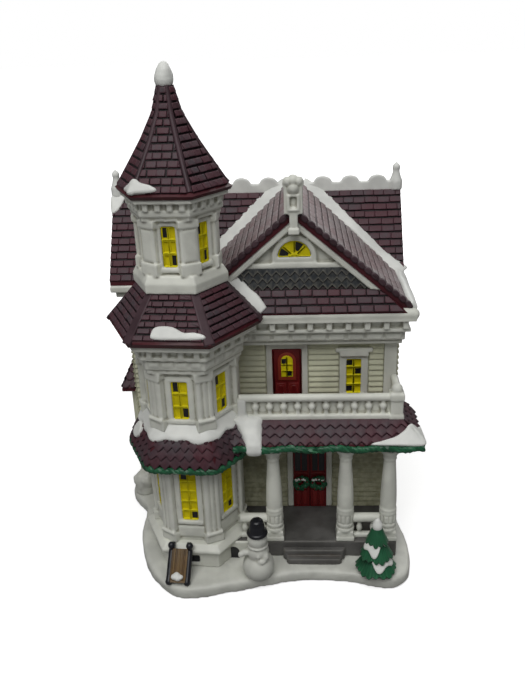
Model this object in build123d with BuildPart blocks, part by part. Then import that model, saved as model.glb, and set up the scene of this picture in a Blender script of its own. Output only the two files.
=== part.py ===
from build123d import *
import math
import os

os.makedirs("parts", exist_ok=True)

# A lighted porcelain village house with a corner tower, a front gable and a columned porch.
# Millimetres. +Z is up, the front faces -Y, and the origin is the middle of the flat underside.

# General
overrun = 4.0  # how far a cut runs past what it cuts
shell = 3.2  # thickness of a cast wall
hex_sides = 6
hex_apothem_share = math.sqrt(3) / 2  # flat of a hexagon over its corner radius

# Base: a slab of modelled snow, open under the house and under the tower
base_side_border = 7.0  # past the house walls
base_rear_border = 4.5
base_height = 6.0
base_edge = 1.8
base_opening_inset = 5.0
base_outline_shares = (
    (-0.826, -0.34), (-0.765, -0.605), (-0.662, -0.805), (-0.487, -0.964), (-0.225, -0.937),
    (0.088, -0.85), (0.28, -0.804), (0.535, -0.812), (0.753, -0.857), (0.864, -0.875),
    (0.946, -0.819), (0.998, -0.655), (0.999, -0.48), (0.965, -0.2), (0.965, 0.4),
    (0.96, 0.9), (0.86, 0.985), (0.3, 0.995), (-0.3, 0.995), (-0.86, 0.985),
    (-0.97, 0.85), (-0.985, 0.45), (-0.975, 0.13), (-0.855, -0.06),
)

# House plan: a main block behind and a wing in front of it, right of the tower
house_left = -67.5
house_right = 68.5
house_rear = 68.0
main_front = 20.0
wing_left = -25.0
wing_front = -17.3
wall_top = 127.3
base_half_width = (house_right - house_left) / 2 + base_side_border
base_half_depth = house_rear + base_rear_border

# Main roof, ridge along X
ridge_y = 44.2
ridge_z = 168.8
main_run = 28.2
main_eave_z = 129.4
main_roof_overhang = 6.7
roof_thickness = 3.0
crest_height = 8.2
crest_thickness = 3.2
crest_base_height = 5.0
crest_hump_radius = 4.6
crest_hump_pitch = 14.0
finial_base = 4.6
finial_height = 10.1
finial_tip_radius = 1.3

# Front gable: its roof, wall and trim
gable_x = 20.75
gable_ridge_z = 174.5
gable_half_width = 52.25
gable_eave_z = 129.5
gable_front = -28.6
gable_wall_front = -24.5
rake_depth = 2.2
rake_width = 2.8
fan_radius = 7.4
fan_sill_z = 152.6
fan_frame_width = 2.4
fan_frame_proud = 1.4
fan_pane_thickness = 0.8
fan_bar_width = 0.9
fan_bar_count = 4
belt_z = 147.6
belt_height = 2.4
belt_proud = 2.0
scallop_thickness = 1.3
scallop_width = 4.1
scallop_rows = 3
scallop_step = 0.35
pent_top_z = 138.4
pent_lip_height = 1.0
bracket_width = 8.0
bracket_depth = 5.4
bracket_foot_z = 173.0
bracket_head_z = 184.5
bracket_top_z = 189.0
bracket_head_radius = 2.3
bracket_head_pitch = 2.2
bracket_drop_width = 3.6
bracket_drop_z = 164.5
bracket_panel_share = 0.45
bracket_panel_depth = 0.8

# Main cornice round the wing: heights from the wall top down, with forward and side reach from the wall
cornice_heights = (4.0, 4.2, 1.8, 5.2, 2.6)
cornice_front_reaches = (13.8, 9.6, 11.2, 8.2, 6.2)
cornice_side_reaches = (6.6, 3.2, 4.4, 2.4, 1.4)
dentil_width = 2.6
dentil_pitch = 8.6
dentil_layer = 1
eave_cornice_height = 7.0
eave_cornice_reach = 6.2
eave_cornice_lip = 2.0

# Tower: six-sided, turned a little to the left
tower_x = -29.2
tower_y = -32.0
tower_turn = -4.6
foundation_radius = 26.0
foundation_top = 15.0
table_radius = 28.3
table_lip = 1.6
table_top = 19.0
table_top_radius = 25.2
lower_wall_radius = 22.0
lower_pilaster_radius = 22.4
lower_top = 63.5
lower_eave_radius = 31.6
lower_eave_height = 2.0
lower_belly_radius = 29.4
lower_belly_z = 71.0
lower_roof_top = 77.5
lower_roof_top_radius = 25.8
middle_floor = 81.0
middle_wall_radius = 22.0
middle_pilaster_radius = 22.9
middle_wall_top = 109.5
middle_cornice_heights = (2.5, 5.0, 1.5, 4.0, 3.0)
middle_cornice_radii = (25.4, 26.4, 28.6, 27.4, 32.6)
middle_dentil_layer = 3
middle_eave_radius = 35.8
middle_eave_height = 2.0
middle_eave_under_radius = 34.6
upper_floor = 145.0
upper_roof_foot_radius = 19.8
plinth_radius = 21.5
plinth_height = 4.2
plinth_rise = 7.5
plinth_top = upper_floor + plinth_rise
plinth_top_radius = 19.6
upper_wall_radius = 16.9
upper_pilaster_radius = 17.7
upper_wall_top = 175.5
upper_cornice_heights = (2.0, 2.4, 3.2, 1.9)
upper_cornice_radii = (19.8, 20.9, 20.2, 23.4)
upper_dentil_layer = 2
spire_eave_height = 1.4
spire_eave_radius = 25.2
spire_under_radius = 24.2
spire_heights = (2.9, 12.3, 20.4, 30.9, 41.4)
spire_radii = (23.4, 17.1, 11.8, 6.0, 3.1)
spire_cap_height = 8.6
spire_cap_radius = 3.7
spire_cap_tip_radius = 1.5
pilaster_width = 7.6
pilaster_foot_height = 5.0
pilaster_foot_proud = 0.7
pilaster_cap_height = 3.0
tower_dentil_width = 2.4
tower_dentil_proud = 1.6
tower_dentils_per_side = 4
tower_front_faces = (210.0, 270.0, 330.0)
tower_rear_left_face = 150.0
tower_free_corners = (0.0, 120.0, 180.0, 240.0, 300.0)
tower_all_corners = (0.0, 60.0, 120.0, 180.0, 240.0, 300.0)

# Windows: a cast pane with bars, set in a hole with a raised casing
pane_thickness = 1.4
pane_setback = 0.6
pane_bar = 0.9
pane_bar_proud = 0.5
pane_columns = 2
pane_rows = 4
tall_pane_rows = 5
casing_width = 2.0
casing_proud = 0.8
sill_proud = 1.4
lower_window_width = 8.2
lower_sill_rise = 12.0
lower_head_drop = 5.5
lower_window_sill = table_top + lower_sill_rise
lower_window_head = lower_top - lower_head_drop
middle_window_width = 7.6
middle_sill_rise = 5.0
middle_head_drop = 4.5
middle_window_sill = middle_floor + middle_sill_rise
middle_window_head = middle_wall_top - middle_head_drop
upper_window_width = 6.4
upper_sill_rise = 3.0
upper_head_drop = 2.3
upper_window_sill = plinth_top + upper_sill_rise
upper_window_head = upper_wall_top - upper_head_drop
basement_window_width = 7.0
basement_window_height = 4.2
basement_window_depth = 1.6
basement_window_sill = 8.4
house_window_width = 9.6
house_window_height = 18.4
upper_window_z = 81.0
ground_window_z = 28.0
attic_window_z = 132.0
balcony_window_x = 48.2
side_window_inset = 14.0
hood_width = 17.6
hood_height = 2.0
hood_proud = 2.6
hood_gap = 2.4

# Front wall trim and doors
corner_pilaster_width = 6.0
corner_pilaster_proud = 1.2
balcony_door_x = 16.2
balcony_door_width = 14.0
balcony_door_top = 105.2
door_frame_width = 3.0
door_frame_proud = 1.0
door_thickness = 1.2
door_panel_depth = 0.5
door_panel_inset = 1.8
balcony_light_width = 5.2
balcony_light_sill = 91.0
balcony_light_head = 102.0
front_door_x = 26.6
front_door_width = 16.8
front_door_top = 50.0
front_leaf_gap = 0.5
wreath_radius = 3.1
wreath_thickness = 1.15
wreath_z = 30.4

# Porch
porch_floor_top = 15.0
porch_floor_front = -47.0
porch_floor_right = 68.0
step_count = 2
step_depth = 3.2
step_width = 30.2
step_taper = 1.6
step_x = 28.0
step_corner = 2.0
column_places = ((9.1, -42.8), (43.3, -42.8), (63.8, -42.8))
column_block = 8.4
column_block_height = 5.2
column_ring_radius = 4.1
column_ring_height = 2.0
column_drum_radius = 3.8
column_drum_height = 6.0
column_foot_radius = 3.7
column_neck_radius = 2.8
column_cap_radius = 4.4
column_cap_height = 3.6
beam_bottom = 64.5
beam_depth = 4.6
beam_front = -44.9
arch_rise = 2.4
porch_eave_z = 69.0
porch_eave_front = -49.6
porch_eave_right = 77.6
porch_eave_lip = 1.6
porch_roof_top = 78.9
porch_roof_left = 3.5
balcony_front = -40.8
balcony_right = 69.3
balcony_rail_depth = 3.6
balcony_lower_rail = 3.0
balcony_upper_rail = 2.8
balcony_top = 91.4
baluster_radius = 1.7
baluster_waist_radius = 1.1
baluster_pitch = 6.5
post_width = 5.8
post_top = 97.0
post_cap_height = 2.4
post_cap_proud = 0.5
porch_rail_top = 27.0
porch_rail_depth = 2.6
porch_rail_height = 3.0
porch_rail_pitch = 4.4
garland_radius = 1.25
garland_drop = 0.2

# One-storey bay on the left side
bay_front = 24.0
bay_rear = 62.0
bay_reach = 5.0
bay_wall_top = 64.0
bay_roof_overhang = 3.6
bay_roof_lip = 1.8
bay_roof_top = 82.0
bay_roof_ridge_inset = 8.0
bay_roof_top_reach = 0.8

# Small figures on the base
bush_from_left = 8.5
bush_y = 10.5
bush_place = (bush_from_left - base_half_width, bush_y)
bush_radius = 6.4
bush_height = 13.0
snowman_x = 1.4
snowman_from_front = 13.0
snowman_place = (snowman_x, snowman_from_front - base_half_depth)
snowman_ball_radii = (7.6, 5.3, 4.8)
snowman_ball_heights = (5.3, 13.6, 20.6)
snowman_arm_radius = 2.2
snowman_arm_drop = 1.0
hat_rise = 3.2
hat_brim_radius = 4.9
hat_brim_height = 1.0
hat_crown_radius = 3.3
hat_crown_height = 6.4
tree_from_right = 17.6
tree_from_front = 16.0
tree_place = (base_half_width - tree_from_right, tree_from_front - base_half_depth)
tree_tier_radii = (9.2, 7.4, 5.2)
tree_tier_top_radii = (5.2, 3.6, 1.0)
tree_tier_heights = (9.6, 9.0, 9.6)
tree_foot_radius = 3.0
tree_foot_height = 1.0
sled_length = 17.2
sled_width = 9.8
sled_deck_width = 7.6
sled_deck_thickness = 1.0
sled_runner_height = 1.8
sled_runner_thickness = 2.0
sled_curl_radius = 1.7
sled_lean = 46.0
sled_shift = -4.6
sled_gap = 0.1

# Modelled snow on the roofs
snow_thickness = 1.1
corner_snow_setback = 1.6
corner_snow_edge = 3.0
valley_snow_width = 5.4
middle_snow_length = 19.0
middle_snow_width = 5.6
middle_snow_shift = 3.5
middle_snow_rise = 3.6
spire_snow_length = 12.0
spire_snow_width = 6.0
spire_snow_shift = -5.0
spire_snow_rise = 3.6

# Lamp: a screw-base bulb in a clip-in socket, pulled out through the round hole in the rear wall
lamp_x = 0.5
lamp_z = 38.0
lamp_hole_radius = 15.0
lamp_gap = 0.3
socket_radius = 9.5
socket_length = 30.0
socket_out = 6.0
socket_wall = 2.8
socket_bore_depth = 14.0
socket_rib_height = 0.6
cord_inlet_radius = 2.6
cap_radius = 5.9
cap_length = 12.5
cap_contact_radius = 2.2
cap_contact_height = 1.2
bulb_radius = 10.8
bulb_length = 40.0
bulb_neck_radius = 5.4
bulb_belly_share = 0.34
clip_thickness = 0.7
clip_width = 7.0
clip_arm_length = 9.0

# Sizes worked out from those above
main_roof_middle = (house_left + house_right) / 2
main_roof_half_length = (house_right - house_left) / 2 + main_roof_overhang
main_rise = ridge_z - main_eave_z
main_slope = math.atan2(main_rise, main_run)
main_drop = roof_thickness / math.cos(main_slope)
gable_rise = gable_ridge_z - gable_eave_z
gable_slope = math.atan2(gable_rise, gable_half_width)
gable_drop = roof_thickness / math.cos(gable_slope)
hex_shell = shell / hex_apothem_share
middle_cornice_top = middle_wall_top + sum(middle_cornice_heights)
upper_cornice_top = upper_wall_top + sum(upper_cornice_heights)
spire_foot = upper_cornice_top
spire_top = spire_foot + spire_heights[-1]
gutter_front = wing_front - cornice_front_reaches[0]
tower_plane = Plane(
    (tower_x, tower_y, 0), x_dir=Vector(1, 0, 0).rotate(Axis.Z, tower_turn), z_dir=(0, 0, 1)
)


def front_plane(y):
    """A sketch plane facing the front: its x is +X and its y is +Z."""
    return Plane.XZ.offset(-y)


def block(low, high, mode=Mode.ADD):
    """A box between two opposite corners."""
    corner = Vector(*low)
    size = Vector(*high) - corner
    with Locations(corner + size / 2):
        Box(size.X, size.Y, size.Z, mode=mode)


def slab(plane, points, depth, mode=Mode.ADD):
    """An outline of straight lines, thickened along the plane's normal."""
    with BuildSketch(plane, mode=Mode.PRIVATE) as outline:
        with BuildLine():
            Polyline(*points, close=True)
        make_face()
    extrude(outline.sketch, amount=depth, mode=mode)


def hex_prism(radius, bottom, top, mode=Mode.ADD):
    """A six-sided prism on the tower's axis."""
    with BuildSketch(tower_plane.offset(bottom), mode=Mode.PRIVATE) as outline:
        RegularPolygon(radius, hex_sides)
    extrude(outline.sketch, amount=top - bottom, mode=mode)


def hex_hollow(wall_radius, bottom, top):
    """The light well inside one level of the tower."""
    hex_prism(wall_radius - hex_shell, bottom - overrun, top + overrun, Mode.SUBTRACT)


def hex_taper(levels, mode=Mode.ADD):
    """A six-sided solid through levels of height and corner radius."""
    sections = []
    for height, radius in levels:
        with BuildSketch(tower_plane.offset(height), mode=Mode.PRIVATE) as section:
            RegularPolygon(radius, hex_sides)
        sections.append(section.sketch)
    loft(sections, ruled=True, mode=mode)


def corner_pilasters(corners, wall_radius, radius, bottom, top):
    """Flat pilasters across the tower's corners, with a foot and a cap."""
    foot = bottom + pilaster_foot_height
    cap = top - pilaster_cap_height
    for low, high, proud in (
        (bottom, top, 0),
        (bottom, foot, pilaster_foot_proud),
        (cap, top, pilaster_foot_proud),
    ):
        depth = radius + proud - (wall_radius - shell)
        with BuildSketch(tower_plane.offset(low), mode=Mode.PRIVATE) as outline:
            for corner in corners:
                with PolarLocations(wall_radius - shell + depth / 2, 1, start_angle=corner):
                    Rectangle(depth, pilaster_width + 2 * proud)
        extrude(outline.sketch, amount=high - low)


def face_plane(face, distance, height):
    """A sketch plane on one of the tower's flats, looking outwards."""
    angle = face + tower_turn
    normal = Vector(1, 0, 0).rotate(Axis.Z, angle)
    along = Vector(0, 1, 0).rotate(Axis.Z, angle)
    place = Vector(tower_x, tower_y, height) + normal * distance
    return Plane(place, x_dir=along, z_dir=normal)


def stacked_cornice(bottom, heights, radii, dentil_layer_index):
    """Hexagonal mouldings stacked from the bottom up, with dentils on one layer."""
    level = bottom
    for index, (height, radius) in enumerate(zip(heights, radii)):
        hex_prism(radius, level, level + height)
        if index == dentil_layer_index:
            for corner in tower_all_corners:
                face = corner + 180 / hex_sides
                plane = face_plane(face, radius * hex_apothem_share, level + height / 2)
                with BuildSketch(plane, mode=Mode.PRIVATE) as teeth:
                    with GridLocations(radius / tower_dentils_per_side, 0, tower_dentils_per_side, 1):
                        Rectangle(tower_dentil_width, height)
                extrude(teeth.sketch, amount=tower_dentil_proud)
        level += height


def sketched_faces(planes, draw):
    """The faces that a drawing gives on each of several planes."""
    faces = []
    for plane in planes:
        with BuildSketch(plane, mode=Mode.PRIVATE) as sketch:
            draw()
        faces += sketch.sketch.faces()
    return faces


def window_holes(planes, width, height):
    """The holes for panes, through walls that stand behind the planes."""
    faces = sketched_faces(planes, lambda: Rectangle(width, height))
    extrude(faces, amount=shell + overrun, both=True, mode=Mode.SUBTRACT)


def window_casings(planes, width, height):
    """Raised frames with sills round panes."""

    def frame():
        Rectangle(width + 2 * casing_width, height + 2 * casing_width)
        Rectangle(width, height, mode=Mode.SUBTRACT)

    def sill():
        with Locations((0, -(height + casing_width) / 2)):
            Rectangle(width + 2 * casing_width, casing_width)

    extrude(sketched_faces(planes, frame), amount=casing_proud)
    extrude(sketched_faces(planes, sill), amount=sill_proud)


def window_panes(planes, width, height, rows):
    """Panes with proud bars that fill their holes."""

    def bars():
        Rectangle(width, height)
        with GridLocations(width / pane_columns, height / rows, pane_columns, rows):
            Rectangle(width / pane_columns - pane_bar, height / rows - pane_bar, mode=Mode.SUBTRACT)

    set_back = [plane.offset(-pane_setback) for plane in planes]
    extrude(sketched_faces(set_back, lambda: Rectangle(width, height)), amount=-pane_thickness)
    extrude(sketched_faces(set_back, bars), amount=pane_bar_proud)


def keep_largest(builder):
    """Drop the offcuts of a trimmed piece."""
    add(builder.solids().sort_by(SortBy.VOLUME)[-1], mode=Mode.REPLACE)


def finish(builder, name):
    """Label a finished piece and write it."""
    builder.part.label = name
    export_step(builder.part, f"parts/{name}.step")


# Tower windows: the plane at the middle of each pane
def storey_windows(faces, wall_radius, sill, head):
    return [face_plane(face, wall_radius * hex_apothem_share, (sill + head) / 2) for face in faces]


side_faces = tower_front_faces + (tower_rear_left_face,)
every_face = tuple(corner + 180 / hex_sides for corner in tower_all_corners)
lower_windows = storey_windows(side_faces, lower_wall_radius, lower_window_sill, lower_window_head)
middle_windows = storey_windows(side_faces, middle_wall_radius, middle_window_sill, middle_window_head)
upper_windows = storey_windows(every_face, upper_wall_radius, upper_window_sill, upper_window_head)
lower_window_height = lower_window_head - lower_window_sill
middle_window_height = middle_window_head - middle_window_sill
upper_window_height = upper_window_head - upper_window_sill
lower_roof_levels = (
    (lower_top, lower_eave_radius),
    (lower_top + lower_eave_height, lower_eave_radius),
    (lower_belly_z, lower_belly_radius),
    (lower_roof_top, lower_roof_top_radius),
    (middle_floor, middle_pilaster_radius + pilaster_foot_proud),
)
middle_roof_levels = (
    (middle_cornice_top, middle_eave_under_radius),
    (middle_cornice_top + middle_eave_height, middle_eave_radius),
    (upper_floor, upper_roof_foot_radius),
)

# Solid outline of the tower, used to cut what is built against it
with BuildPart() as tower_core:
    hex_prism(foundation_radius, base_height, foundation_top)
    hex_taper(
        (
            (foundation_top, table_radius),
            (foundation_top + table_lip, table_radius),
            (table_top, table_top_radius),
        )
    )
    hex_prism(lower_wall_radius, table_top, lower_top)
    corner_pilasters(
        tower_free_corners, lower_wall_radius, lower_pilaster_radius, table_top, lower_top
    )
    hex_taper(lower_roof_levels)
    hex_prism(middle_wall_radius, middle_floor, middle_wall_top)
    corner_pilasters(
        tower_free_corners, middle_wall_radius, middle_pilaster_radius, middle_floor, middle_wall_top
    )
    tooth_ring_radius = middle_cornice_radii[middle_dentil_layer] + tower_dentil_proud / hex_apothem_share
    tooth_ring_foot = middle_wall_top + middle_cornice_heights[0]
    crown_foot = middle_cornice_top - middle_cornice_heights[-1]
    hex_prism(middle_cornice_radii[0], middle_wall_top, tooth_ring_foot)
    hex_prism(tooth_ring_radius, tooth_ring_foot, middle_cornice_top)
    hex_prism(middle_cornice_radii[-1], crown_foot, middle_cornice_top)
    hex_taper(middle_roof_levels)
    hex_taper(
        (
            (upper_floor, plinth_radius),
            (upper_floor + plinth_height, plinth_radius),
            (plinth_top, plinth_top_radius),
        )
    )
    hex_prism(upper_pilaster_radius + pilaster_foot_proud, plinth_top, upper_wall_top)

# Base
house_plan = (
    (house_left, house_rear),
    (house_right, house_rear),
    (house_right, wing_front),
    (wing_left, wing_front),
    (wing_left, main_front),
    (house_left, main_front),
)
with BuildPart() as base:
    with BuildSketch():
        with BuildLine():
            Spline(
                *[(x * base_half_width, y * base_half_depth) for x, y in base_outline_shares],
                periodic=True,
            )
        make_face()
        with Locations(((house_left + house_right) / 2, (main_front + house_rear) / 2)):
            Rectangle(
                house_right - house_left - 2 * (shell + base_opening_inset),
                house_rear - main_front - 2 * (shell + base_opening_inset),
                mode=Mode.SUBTRACT,
            )
    extrude(amount=base_height)
    hex_hollow(lower_wall_radius, 0, base_height)
    top_rim = base.faces().sort_by(Axis.Z)[-1].outer_wire().edges()
    fillet(top_rim, base_edge)
finish(base, "base")

# House windows on flat walls: plane at the middle of each pane
rear_facing = Plane((0, house_rear, 0), x_dir=(-1, 0, 0), z_dir=(0, 1, 0))
right_facing = Plane((house_right, 0, 0), x_dir=(0, 1, 0), z_dir=(1, 0, 0))
left_facing = Plane((house_left, 0, 0), x_dir=(0, -1, 0), z_dir=(-1, 0, 0))


def on_wall(plane, along, height):
    """The same plane, moved along the wall and up to a point."""
    return Plane(plane.from_local_coords((along, height, 0)), x_dir=plane.x_dir, z_dir=plane.z_dir)


half_window = house_window_height / 2
upper_pane_z = upper_window_z + half_window
ground_pane_z = ground_window_z + half_window
main_middle = (main_front + house_rear) / 2
balcony_window = on_wall(front_plane(wing_front), balcony_window_x, upper_pane_z)
rear_window_x = (house_right - house_left) / 2 - side_window_inset
house_windows = [balcony_window]
for along in (-rear_window_x, 0, rear_window_x):
    house_windows.append(on_wall(rear_facing, along, upper_pane_z))
for along in (-rear_window_x, rear_window_x):
    house_windows.append(on_wall(rear_facing, along, ground_pane_z))
for along in (wing_front + side_window_inset, main_middle):
    house_windows.append(on_wall(right_facing, along, upper_pane_z))
    house_windows.append(on_wall(right_facing, along, ground_pane_z))
house_windows.append(on_wall(left_facing, -main_middle, upper_pane_z))

# Main roof and its ridge
main_roof_outline = (
    (ridge_y - main_run, main_eave_z),
    (ridge_y, ridge_z),
    (ridge_y + main_run, main_eave_z),
    (ridge_y + main_run, main_eave_z - main_drop),
    (ridge_y, ridge_z - main_drop),
    (ridge_y - main_run, main_eave_z - main_drop),
)
roof_left = main_roof_middle - main_roof_half_length
roof_right = main_roof_middle + main_roof_half_length
with BuildPart() as main_roof:
    slab(Plane.YZ.offset(roof_left), main_roof_outline, 2 * main_roof_half_length)
    flat_half = crest_thickness / 2
    flat_z = ridge_z - flat_half * main_rise / main_run
    block(
        (roof_left - overrun, ridge_y - flat_half, flat_z),
        (roof_right + overrun, ridge_y + flat_half, ridge_z + overrun),
        mode=Mode.SUBTRACT,
    )
finish(main_roof, "main_roof")

# House walls
with BuildPart() as house_walls:
    with BuildSketch(Plane.XY.offset(base_height)):
        with BuildLine():
            Polyline(*house_plan, close=True)
        make_face()
        offset(amount=-shell, kind=Kind.INTERSECTION, mode=Mode.SUBTRACT)
    extrude(amount=wall_top - base_height)
    add(tower_core.part, mode=Mode.SUBTRACT)
    add(main_roof.part, mode=Mode.SUBTRACT)
    window_holes(house_windows, house_window_width, house_window_height)
    with BuildSketch(front_plane(house_rear + overrun)):
        with Locations((lamp_x, lamp_z)):
            Circle(lamp_hole_radius)
    extrude(amount=shell + 2 * overrun, mode=Mode.SUBTRACT)
finish(house_walls, "house_walls")

# Gable ends of the main block, up to the underside of the roof
def roof_underside(y):
    """Height of the main roof's underside over a point of the plan."""
    return ridge_z - main_drop - abs(y - ridge_y) * main_rise / main_run


gable_end_outline = (
    (main_front, wall_top),
    (main_front, roof_underside(main_front)),
    (ridge_y, roof_underside(ridge_y)),
    (house_rear, roof_underside(house_rear)),
    (house_rear, wall_top),
)
attic_windows = [
    on_wall(left_facing, -ridge_y, attic_window_z + half_window),
    on_wall(right_facing, ridge_y, attic_window_z + half_window),
]
for name, inner_face, window in (
    ("left_gable_end", house_left, attic_windows[0]),
    ("right_gable_end", house_right - shell, attic_windows[1]),
):
    with BuildPart() as gable_end:
        slab(Plane.YZ.offset(inner_face), gable_end_outline, shell)
        window_holes([window], house_window_width, house_window_height)
    finish(gable_end, name)

# Casings and panes of the house windows
with BuildPart() as house_window_casings:
    window_casings(house_windows + attic_windows, house_window_width, house_window_height)
    with BuildSketch(balcony_window, mode=Mode.PRIVATE) as hood:
        with Locations((0, half_window + casing_width + hood_gap + hood_height / 2)):
            Rectangle(hood_width, hood_height)
        with Locations((0, half_window + casing_width + hood_gap / 2)):
            Rectangle(house_window_width + 2 * casing_width, hood_gap)
    extrude(hood.sketch, amount=hood_proud)
finish(house_window_casings, "house_window_casings")

bay_window = on_wall(left_facing, -main_middle, ground_pane_z).offset(bay_reach)
with BuildPart() as house_window_panes:
    window_panes(
        house_windows + attic_windows + [bay_window],
        house_window_width,
        house_window_height,
        pane_rows,
    )
finish(house_window_panes, "house_window_panes")

# Ridge of the main roof
crest_top = flat_z + crest_base_height
hump_count = int((2 * main_roof_half_length - 2 * finial_base) / crest_hump_pitch)
with BuildPart() as ridge_cresting:
    with BuildSketch(front_plane(ridge_y + flat_half)):
        with Locations((main_roof_middle, (flat_z + crest_top) / 2)):
            Rectangle(2 * (main_roof_half_length - finial_base), crest_base_height)
        with Locations((main_roof_middle, crest_top)):
            with GridLocations(crest_hump_pitch, 0, hump_count, 1):
                Ellipse(crest_hump_radius, crest_height - crest_base_height)
        with Locations((main_roof_middle, flat_z - crest_height / 2)):
            Rectangle(2 * main_roof_half_length, crest_height, mode=Mode.SUBTRACT)
    extrude(amount=crest_thickness)
finish(ridge_cresting, "ridge_cresting")

with BuildPart() as ridge_finials:
    for end in (roof_left + finial_base / 2, roof_right - finial_base / 2):
        block(
            (end - finial_base / 2, ridge_y - flat_half, flat_z),
            (end + finial_base / 2, ridge_y + flat_half, crest_top),
        )
        with BuildSketch(front_plane(ridge_y), mode=Mode.PRIVATE) as half_profile:
            with BuildLine():
                Polyline(
                    (end, crest_top),
                    (end + flat_half, crest_top),
                    (end + finial_tip_radius, crest_top + finial_height / 2),
                    (end + flat_half, crest_top + finial_height * 2 / 3),
                    (end, crest_top + finial_height),
                    close=True,
                )
            make_face()
        revolve(half_profile.sketch, axis=Axis((end, ridge_y, 0), (0, 0, 1)))
finish(ridge_finials, "ridge_finials")

# What the front gable may fill: everything above the main roof and in front of its ridge
main_roof_body = main_roof_outline[:3] + (
    (ridge_y + main_run, 0),
    (ridge_y - main_run, 0),
)
gable_outer = (
    (gable_x - gable_half_width, gable_eave_z),
    (gable_x, gable_ridge_z),
    (gable_x + gable_half_width, gable_eave_z),
)
gable_inner = (
    (gable_x + gable_half_width, gable_eave_z - gable_drop),
    (gable_x, gable_ridge_z - gable_drop),
    (gable_x - gable_half_width, gable_eave_z - gable_drop),
)
with BuildPart() as wing_roof:
    slab(front_plane(ridge_y - flat_half), gable_outer + gable_inner, ridge_y - flat_half - gable_front)
    slab(
        Plane.YZ.offset(roof_left - overrun),
        main_roof_body,
        2 * (main_roof_half_length + overrun),
        Mode.SUBTRACT,
    )
    add(tower_core.part, mode=Mode.SUBTRACT)
    keep_largest(wing_roof)
finish(wing_roof, "wing_roof")

# The space under the gable roof, which trims the gable's wall and trim
gable_space = (
    (gable_x - gable_half_width, gable_eave_z - gable_drop),
    (gable_x, gable_ridge_z - gable_drop),
    (gable_x + gable_half_width, gable_eave_z - gable_drop),
)
with BuildPart() as gable_room:
    slab(front_plane(main_front), gable_space, main_front - gutter_front)
    slab(
        front_plane(main_front),
        (
            gable_space[0],
            gable_space[2],
            (gable_space[2][0], wall_top),
            (gable_space[0][0], wall_top),
        ),
        main_front - gutter_front,
        Mode.SUBTRACT,
    )

fan_place = on_wall(front_plane(gable_wall_front), gable_x, fan_sill_z)
belt_bottom = belt_z
belt_top = belt_z + belt_height
with BuildPart() as gable_wall:
    slab(front_plane(gable_wall_front + shell), gable_space, shell)
    block(
        (gable_x - gable_half_width, gable_wall_front - belt_proud, belt_bottom),
        (gable_x + gable_half_width, gable_wall_front, belt_top),
    )
    slab(
        front_plane(gable_wall_front),
        gable_space + tuple((x, z - rake_width) for x, z in reversed(gable_space)),
        rake_depth,
    )
    with BuildSketch(fan_place, mode=Mode.PRIVATE) as fan_frame:
        Circle(fan_radius + fan_frame_width)
        with Locations((0, -fan_frame_width / 2)):
            Rectangle(2 * (fan_radius + fan_frame_width), fan_frame_width)
        with Locations((0, -fan_frame_width - fan_radius)):
            Rectangle(4 * fan_radius, 2 * fan_radius, mode=Mode.SUBTRACT)
    extrude(fan_frame.sketch, amount=fan_frame_proud)
    with BuildSketch(fan_place, mode=Mode.PRIVATE) as fan_hole:
        Circle(fan_radius)
        with Locations((0, -fan_radius / 2)):
            Rectangle(2 * fan_radius, fan_radius, mode=Mode.SUBTRACT)
    extrude(fan_hole.sketch, amount=fan_frame_proud + overrun, mode=Mode.SUBTRACT)
    extrude(fan_hole.sketch, amount=-shell - overrun, mode=Mode.SUBTRACT)
    add(gable_room.part, mode=Mode.INTERSECT)
    add(tower_core.part, mode=Mode.SUBTRACT)
finish(gable_wall, "gable_wall")

with BuildPart() as fan_window:
    extrude(fan_hole.sketch, amount=-fan_pane_thickness)
    with BuildSketch(fan_place):
        Circle(fan_radius / 4)
        for index in range(fan_bar_count + 1):
            with PolarLocations(fan_radius / 2, 1, start_angle=index * 180 / fan_bar_count):
                Rectangle(fan_radius, fan_bar_width)
        Circle(fan_radius, mode=Mode.INTERSECT)
        with Locations((0, -fan_radius / 2)):
            Rectangle(2 * fan_radius, fan_radius, mode=Mode.SUBTRACT)
    extrude(amount=fan_pane_thickness / 2)
finish(fan_window, "fan_window")

# Scalloped band and pent roof between the gable wall and the gutter
with BuildPart() as gable_scallops:
    row_height = (belt_bottom - pent_top_z) / scallop_rows
    scallop_count = int(2 * gable_half_width / scallop_width)
    for row in range(scallop_rows):
        row_top = belt_bottom - row * row_height
        with BuildSketch(front_plane(gable_wall_front), mode=Mode.PRIVATE) as tiles:
            with Locations((gable_x, row_top - row_height / 4)):
                Rectangle(2 * gable_half_width, row_height / 2)
            with Locations((gable_x + (row % 2) * scallop_width / 2, row_top - row_height / 2)):
                with GridLocations(scallop_width, 0, scallop_count, 1):
                    Ellipse(scallop_width / 2, row_height / 2)
        extrude(tiles.sketch, amount=scallop_thickness + (scallop_rows - row) * scallop_step)
    block(
        (gable_x - gable_half_width, gable_wall_front - scallop_thickness, pent_top_z),
        (gable_x + gable_half_width, gable_wall_front, belt_bottom),
    )
    add(gable_room.part, mode=Mode.INTERSECT)
    add(gable_wall.part, mode=Mode.SUBTRACT)
    add(tower_core.part, mode=Mode.SUBTRACT)
finish(gable_scallops, "gable_scallops")

with BuildPart() as pent_roof:
    slab(
        Plane.YZ.offset(gable_x - gable_half_width),
        (
            (gable_wall_front, wall_top),
            (gable_wall_front, pent_top_z),
            (gable_wall_front - scallop_thickness, pent_top_z),
            (gutter_front, wall_top + pent_lip_height),
            (gutter_front, wall_top),
        ),
        2 * gable_half_width,
    )
    add(gable_room.part, mode=Mode.INTERSECT)
    add(gable_wall.part, mode=Mode.SUBTRACT)
    add(tower_core.part, mode=Mode.SUBTRACT)
finish(pent_roof, "pent_roof")

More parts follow.
